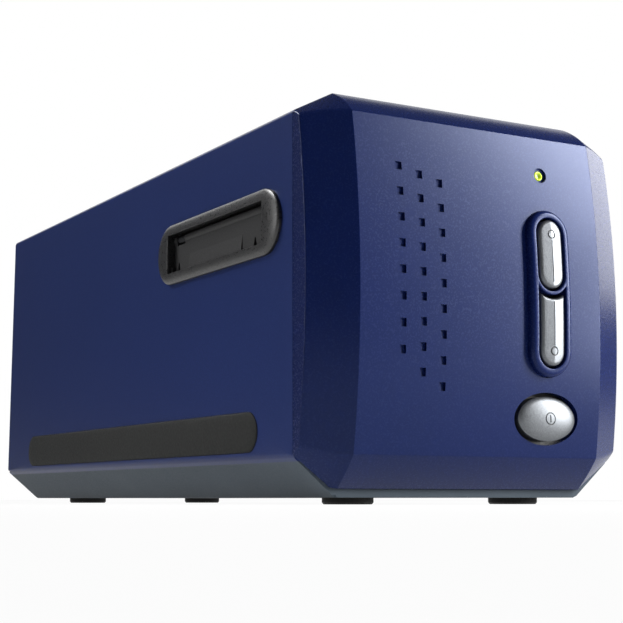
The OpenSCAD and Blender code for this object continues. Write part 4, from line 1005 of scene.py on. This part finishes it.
def roof(u, v):
    """The keys' roof falls to both sides of a ridge, along their whole length."""
    return -KEY_SLOPE * abs(u - BUTTON_X)


def half_round(r, centre):
    """Lower half of a circle of radius r about a height on the buttons' middle line."""
    turns = [math.pi * i / 24 for i in range(25)]
    return [(BUTTON_X - r * math.cos(a), centre - r * math.sin(a)) for a in turns]


def upper_outline(grow):
    """The upper key's outline at a distance inside it, when it is grow larger all round."""
    low, high = UPPER_KEY
    mid, tall, wide = (low + high) / 2, high - low + 2 * grow, 2 * (KEY_HALF + grow)
    return lambda d: stadium(wide - 2 * d, tall - 2 * d, 24, BUTTON_X, mid, sides=14)


def lower_outline(grow, bar):
    """The lower key's outline: round below, hollowed above by the round bar under the upper key."""

    def outline_at(d):
        w, r = KEY_HALF + grow - d, KEY_HALF + KEY_GAP + bar + d
        centre = LOWER_KEY + KEY_HALF
        corner = BAR_Z - math.sqrt(r * r - w * w)
        up = [centre + (corner - centre) * i / 14 for i in range(1, 14)]
        pts = half_round(w, centre) + [(BUTTON_X + w, z) for z in up]
        span = math.asin(w / r)
        for i in range(17):
            a = span * (1 - i / 8)
            pts.append((BUTTON_X + r * math.sin(a), BAR_Z - r * math.cos(a)))
        return pts + [(BUTTON_X - w, z) for z in reversed(up)]

    return outline_at


def groove(points, floor, outer=None):
    """Cutter for an engraved mark: all above a floor, which is counted from the panel's face, inside
    an outline or between two."""
    z = sum(p[1] for p in points) / len(points)
    y0, y1 = panel_y(z) - 8, panel_y(z) - floor
    bm = ring_prism(outer, points, y0, y1) if outer else outline_prism(points, y0, y1)
    return as_object("groove", bm, "silver")


def upright_line(low, high, width):
    """Outline of a line up the middle of the buttons."""
    left, right = BUTTON_X - width / 2, BUTTON_X + width / 2
    return [(left, low), (right, low), (right, high), (left, high)]


def stem(z, front):
    """Round stem that runs back from a button to its plunger."""
    return outline_prism(oval(STEM_WIDE, STEM_WIDE, 32, BUTTON_X, z), front, STEM_END)


def ring_outlines(widths, steps, z):
    """Inner and outer outline of a ring-shaped mark."""
    return [oval(w, w, steps, BUTTON_X, z) for w in widths]


def make_key(which, body, outline_at, flange, mark_z, line):
    """A key: its roof has rounded shoulders, an engraved ring and a fine line along the ridge."""
    shoulder = quarter(KEY_ROUND, KEY_DROP, KEY_TOP - KEY_DROP)
    ridge = [(d, KEY_TOP) for d in (2.2, 3.4, KEY_HALF - SLIVER)]
    profile = [(0, -KEY_FLANGE - 0.5), *shoulder, *ridge]
    key = dome(which + "_key", "silver", on_panel, outline_at, profile, roof)
    inner, outer = ring_outlines(KEY_RING, 40, mark_z)
    carved(key, [
        groove(inner, KEY_TOP - MARK_DEPTH, outer),
        groove(upright_line(*line, RIDGE_LINE), KEY_TOP - RIDGE_DEPTH),
    ])
    face = panel_y(mark_z)
    filler_top, filler_end = face - KEY_TOP + KEY_FILL, face - KEY_TOP + MARK_DEPTH + FILL_BITE
    merged(key, joined("key_back", [
        ring_prism(outer, inner, filler_top, filler_end),
        lofted(on_panel, lambda d: flange, [(0, -KEY_FLANGE - 1), (0, -KEY_FLANGE)]),
        stem(STEM_Z[which], STEM_FRONT),
    ], "black"), "black")
    crease(key.data, 30)
    shown(key, body, which + "_scan_button")


def make_keys():
    """Both keys, each with a flange that holds it behind the frame."""
    low, high = UPPER_KEY
    flange = stadium(2 * KEY_HALF + 3, high - low + 2.1, 24, BUTTON_X, (low + high) / 2 + 0.15)
    line = (UPPER_LINE_END, high - LINE_IN)
    make_key("upper", "upper_button", upper_outline(0), flange, high - RING_IN, line)
    reach = 1.2
    r, foot, head = KEY_HALF + KEY_GAP + reach, LOWER_KEY - KEY_GAP - reach, low - 1.3
    flange = half_round(r, foot + r) + [(BUTTON_X + r, head), (BUTTON_X - r, head)]
    line = (LOWER_KEY + LINE_IN, LOWER_LINE_END)
    outline_at = lower_outline(0, BAR + reach)
    make_key("lower", "lower_button", outline_at, flange, LOWER_KEY + RING_IN, line)


def hole_tool(outline_at):
    """Cuts a key's hole through the frame and rounds its rim."""
    rim = quarter(-RIM_ROUND, RIM_ROUND, BANK_PROUD - RIM_ROUND, 5)
    profile = [(0, -WALL - 3), *rim, (rim[-1][0], BANK_PROUD + 2)]
    return as_object("hole", lofted(on_panel, outline_at, profile), "bezel")


def make_surround():
    """Raised frame round the keys, with a rounded shoulder, held by a flange behind the panel."""

    def outline_at(d):
        return stadium(BANK_W - 2 * d, BANK_H - 2 * d, 32, BUTTON_X, BANK_Z, sides=20)

    root = -WALL - BANK_FLANGE
    shoulder = quarter(BANK_ROUND, BANK_ROUND, BANK_PROUD - BANK_ROUND, 12)
    profile = [(0, root), *shoulder, (3.0, BANK_PROUD), (BANK_W / 2 - SLIVER, BANK_PROUD)]
    ring = dome("button_frame", "bezel", on_panel, outline_at, profile)
    flange = lofted(on_panel, lambda d: outline_at(-BANK_REACH), [(0, root), (0, -WALL - 0.02)])
    carved(ring, [as_object("flange", flange, "bezel")], "UNION")
    carved(ring, [hole_tool(upper_outline(KEY_GAP)), hole_tool(lower_outline(KEY_GAP, BAR))])
    crease(ring.data, 30)
    shown(ring, "body", "button_surround")


def make_power_button():
    """Oval cap with a bevelled rim and a low dome, marked with a ring and an upright bar."""
    face_y = panel_y(POWER_Z)

    def place(u, v, height):
        return at(u, face_y - height, v)

    def outline_at(d):
        return oval(POWER_W * (1 - d), POWER_H * (1 - d), 96, BUTTON_X, POWER_Z)

    # Shares of the way from the rim to the middle, close together where the rim bends
    shares = [0, 0.006, 0.015, 0.03, 0.045, 0.06, 0.08, 0.1, 0.13, 0.16, 0.2, 0.26, 0.34, 0.44, 0.55, 0.68,
              0.82, 0.93, 1 - 1e-5]
    crown = [(d, CROWN - CROWN_FALL * (1 - d) ** 2 - CROWN_EDGE * (1 - d) ** 12) for d in shares]
    cap = dome("power_cap", "silver", place, outline_at, [(0, -WALL - 1.9), *crown])
    inner, outer = ring_outlines(POWER_RING, 48, POWER_Z)
    bar = upright_line(POWER_Z - POWER_BAR_HALF, POWER_Z + POWER_BAR_HALF, POWER_BAR)
    carved(cap, [groove(inner, CROWN - POWER_MARK_DEPTH, outer), groove(bar, CROWN - POWER_MARK_DEPTH)])
    filler_top = face_y - CROWN + POWER_FILL
    filler_end = face_y - CROWN + POWER_MARK_DEPTH + FILL_BITE
    back = face_y + WALL + CAP_FLANGE_AT
    flange = oval(POWER_W + CAP_FLANGE_WIDER, POWER_H + CAP_FLANGE_TALLER, 96, BUTTON_X, POWER_Z)
    merged(cap, joined("cap_back", [
        ring_prism(outer, inner, filler_top, filler_end),
        outline_prism(bar, filler_top, filler_end),
        outline_prism(flange, back, back + CAP_FLANGE_THICK),
        stem(POWER_Z, back + CAP_FLANGE_THICK / 2),
    ], "black"), "black")
    crease(cap.data, 30)
    shown(cap, "power_switch", "power_button")


def make_lens():
    """Light pipe of the indicator: its end is dished and lies a little below the panel's face."""

    def outline_at(d):
        return oval(2 * (LENS_R - d), 2 * (LENS_R - d), 48, BUTTON_X, LAMP_Z)

    # Distances from the edge, and how much deeper than the rim the end lies there
    dish = [(0, 0.12), (0.03, 0.04), (0.1, 0), (0.3, 0), (0.45, 0.1), (0.7, 0.32), (1.0, 0.45),
            (LENS_R - SLIVER, 0.5)]
    profile = [(0, -LENS_L), *((d, -LENS_IN - drop) for d, drop in dish)]
    lens = dome("lens", "led", on_panel, outline_at, profile)
    collar_at, collar_wide = panel_y(LAMP_Z, WALL) + 0.3, 4.6
    collar = outline_prism(oval(collar_wide, collar_wide, 48, BUTTON_X, LAMP_Z), collar_at, collar_at + 1)
    merged(lens, as_object("stop", collar, "led"))
    crease(lens.data, 40)
    shown(lens, "body", "indicator_lens")


make_keys()
make_surround()
make_power_button()
make_lens()


# ------------------------------------------------------------------ film slots and grip pads

FRAME_L, FRAME_H, FRAME_PROUD, FRAME_EDGE, FRAME_ROUND = 86.9, 20.4, 2.0, 0.8, 7.0
SLOT_L, SLOT_H = 67.6, 13.1
# Collar through the wall, rounding of the opening's rim, and bore for the door's hinge pin
COLLAR, COLLAR_DEPTH = 1.6, 6.6
SLOT_RIM = 0.45
PIN_UP, PIN_OUT, PIN_BORE = 4.9, -1.8, 1.56
# Outer face of the closed door, and the stops it rests on: width, height, play and far side
DOOR_OUT = -0.8
STOP_W, STOP_H, STOP_PLAY, STOP_FAR = 1.2, 2.2, 0.15, 1.3
# How far a piece reaches into the one that it is joined to
BITE = 0.3
# Snap nibs: places along the frame, half length, how far they stand out, how far they go into the
# collar, their middle's depth below the wall, and their reach from there inwards and outwards
NIB_PLACES, NIB_HALF, NIB_OUT, NIB_BITE = (-20, 20), 4, 0.7, 1
NIB_DEPTH, NIB_INWARDS, NIB_OUTWARDS = 0.7, 0.9, 0.55
PAD_L, PAD_H, PAD_Y, PAD_Z = 204.7, 12.1, 123.6, 21.3
PAD_RECESS, PAD_EDGE, PAD_PROUD = 1.2, 0.1, 0.7


def on_side(side, y, z):
    """Places on a side wall about a centre: u rearwards, v up and height out of the wall."""
    return lambda u, v, height: at(side * (HALF_W + height), y + u, z + v)


def slab(place, u, v, height):
    """A block between two values each of u, v and height."""
    corners = [(u[0], v[0]), (u[1], v[0]), (u[1], v[1]), (u[0], v[1])]
    return as_object("slab", lofted(place, lambda d: corners, [(0, h) for h in height]), "frame")


def snap_nibs(place, half_h):
    """Wedges on the collar that snap in behind the wall, two above and two below."""
    nibs = []
    for s in (-1, 1):
        wedge = [(-s * NIB_BITE, -NIB_INWARDS), (s * NIB_OUT, NIB_OUTWARDS), (-s * NIB_BITE, NIB_OUTWARDS)]
        for middle in NIB_PLACES:
            nibs.append(lofted(
                lambda u, v, h: place(h, s * (half_h + COLLAR) + u, v - WALL - NIB_DEPTH),
                lambda d: wedge,
                [(0, middle - NIB_HALF), (0, middle + NIB_HALF)],
            ))
    return joined("nibs", nibs, "frame")


def make_slot_frame(side, name, node):
    """Domed frame round a film slot, with its collar through the wall, stops and snap nibs."""
    place = on_side(side, SLOT_Y, SLOT_Z)
    half_l, half_h = SLOT_L / 2, SLOT_H / 2
    shoulder = quarter(FRAME_ROUND, FRAME_PROUD - FRAME_EDGE, FRAME_EDGE, 16)
    profile = [(0, 0), *shoulder, (8.6, FRAME_PROUD), (FRAME_H / 2 - SLIVER, FRAME_PROUD)]
    slot_frame = dome(
        name, "frame", place, lambda d: stadium(FRAME_L - 2 * d, FRAME_H - 2 * d, sides=6), profile
    )
    collar_l, collar_h = half_l + COLLAR, half_h + COLLAR
    collar = slab(place, (-collar_l, collar_l), (-collar_h, collar_h), (-COLLAR_DEPTH, BITE))
    carved(slot_frame, [collar], "UNION")
    flare = quarter(-SLOT_RIM, SLOT_RIM, FRAME_PROUD - SLOT_RIM, 6)
    opening = lofted(
        place,
        lambda d: rectangle(SLOT_L - 2 * d, SLOT_H - 2 * d),
        [(0, -COLLAR_DEPTH - 1), *flare, (-SLOT_RIM, FRAME_PROUD + 2)],
    )
    pin_end = collar_l - 0.4
    pin_hole = lofted(
        lambda u, v, h: place(h, PIN_UP + u, PIN_OUT + v),
        lambda d: oval(PIN_BORE, PIN_BORE, 24),
        [(0, -pin_end), (0, pin_end)],
    )
    carved(slot_frame, [as_object("opening", opening, "frame"), as_object("pin_hole", pin_hole, "frame")])
    stop_v, stop_out = (-half_h - BITE, -half_h + STOP_H), (DOOR_OUT + STOP_PLAY, DOOR_OUT + STOP_FAR)
    ends = [sorted((s * (half_l - STOP_W), s * (half_l + BITE))) for s in (-1, 1)]
    carved(slot_frame, [slab(place, stop_u, stop_v, stop_out) for stop_u in ends], "UNION")
    merged(slot_frame, snap_nibs(place, half_h))
    crease(slot_frame.data, 28)
    shown(slot_frame, "body", node)


def make_grip_pad(side, name, node):
    """Long rubber pad, softly crowned."""
    shoulder = quarter(4.0, PAD_PROUD - PAD_EDGE, PAD_EDGE, 12)
    profile = [(0, -PAD_RECESS), *shoulder, (PAD_H / 2 - SLIVER, PAD_PROUD)]
    place = on_side(side, PAD_Y, PAD_Z)
    pad = dome(name, "pad", place, lambda d: stadium(PAD_L - 2 * d, PAD_H - 2 * d, sides=10), profile)
    crease(pad.data, 40)
    shown(pad, "body", node)


for side, word in ((-1, "left"), (1, "right")):
    make_slot_frame(side, "slot_collar_" + word, "slot_frame_" + word)
    make_grip_pad(side, "rubber_grip_" + word, "grip_pad_" + word)


# ------------------------------------------------------------------ light, floor and sky

# Place that the lamps face, near the slots and the front
AIM = Vector((0, -0.1, 0.06))
# Turn from the front towards the right and rise, in degrees; distance, width and height in metres;
# brightness; and the degrees within which a honeycomb grid keeps the light
LAMPS = {
    "upper_softbox": (51, 28, 0.85, (0.2, 0.32), 38, 180),
    "lower_softbox": (51.5, 8, 0.85, (0.17, 0.3), 38, 180),
    "edge_softbox": (104, 17, 0.9, (0.2, 0.3), 5.5, 180),
    "left_softbox": (-138, 45, 0.75, (0.4, 0.4), 0.9, 34),
    "slot_softbox": (-122, 12, 1.2, (0.4, 0.4), 3.2, 180),
    "rear_softbox": (180, 32, 1.2, (0.6, 0.5), 1.6, 180),
}


def softbox(name, turn, rise, distance, size, brightness, spread):
    """A softbox that faces the scanner."""
    data = bpy.data.lights.new(name, "AREA")
    data.shape = "RECTANGLE"
    data.size, data.size_y = size
    data.energy = math.pi * size[0] * size[1] * brightness
    data.spread = math.radians(spread)
    turn, rise = math.radians(turn), math.radians(rise)
    way = Vector((math.sin(turn) * math.cos(rise), -math.cos(turn) * math.cos(rise), math.sin(rise)))
    obj = placed(name, data)
    obj.location = AIM + way * distance
    obj.rotation_euler = (-way).to_track_quat("-Z", "Y").to_euler()


def seen_rays(tree):
    """1 for rays from the camera and for reflected or refracted ones, 0 for light that is scattered."""
    path = put(tree, "ShaderNodeLightPath")
    total = path.outputs["Is Camera Ray"]
    for name in ("Is Glossy Ray", "Is Transmission Ray"):
        both = put(tree, "ShaderNodeMath", {"operation": "MAXIMUM"}, {0: total, 1: path.outputs[name]})
        total = both.outputs[0]
    return total


def studio_air():
    """Dim, even light from all round, as in a large room."""
    world = bpy.data.worlds.new("studio_air")
    bpy.context.scene.world = world
    tree = empty_tree(world)
    air = put(tree, "ShaderNodeBackground", {"Color": linear("#f4f6ff"), "Strength": 0.1})
    put(tree, "ShaderNodeOutputWorld", links={"Surface": air.outputs[0]})


def pale_surface(name, share):
    """White paper, which also shines by itself towards the camera and in reflections, by a share."""
    mat = bpy.data.materials.new(name)
    tree = empty_tree(mat)
    lit = put(tree, "ShaderNodeBsdfDiffuse", {"Color": linear("#f4f4f4")})
    glow = put(tree, "ShaderNodeEmission", {"Color": linear("#ffffff"), "Strength": 1.0})
    part = put(tree, "ShaderNodeMath", {"operation": "MULTIPLY"}, {0: seen_rays(tree)})
    part.inputs[1].default_value = share
    links = {0: part.outputs[0], 1: lit.outputs[0], 2: glow.outputs[0]}
    mix = put(tree, "ShaderNodeMixShader", links=links)
    put(tree, "ShaderNodeOutputMaterial", links={"Surface": mix.outputs[0]})
    MATS[name] = mat


# Floor and the board behind the scanner, in metres and degrees
FLOOR_R = 4
BOARD_AT, BOARD_HALF, BOARD_H, BOARD_TURN = (0.9, 1.5, 0), 1, 1.5, -30


def paper_sweep():
    """Pale floor, and the white board that stands behind the scanner."""
    pale_surface("floor_paper", 0.93)
    pale_surface("board_paper", 1.0)
    bm = bmesh.new()
    bmesh.ops.create_circle(bm, cap_ends=True, segments=96, radius=FLOOR_R)
    as_object("studio_floor", bm, "floor_paper")
    bm = bmesh.new()
    turn = math.radians(BOARD_TURN)
    half = Vector((math.cos(turn), math.sin(turn), 0)) * BOARD_HALF
    left, right, up = Vector(BOARD_AT) - half, Vector(BOARD_AT) + half, Vector((0, 0, BOARD_H))
    bm.faces.new([bm.verts.new(p) for p in (left, right, right + up, left + up)])
    as_object("studio_board", bm, "board_paper")


studio_air()
paper_sweep()
for lamp, settings in LAMPS.items():
    softbox(lamp, *settings)

bpy.context.scene.view_settings.view_transform = "Standard"
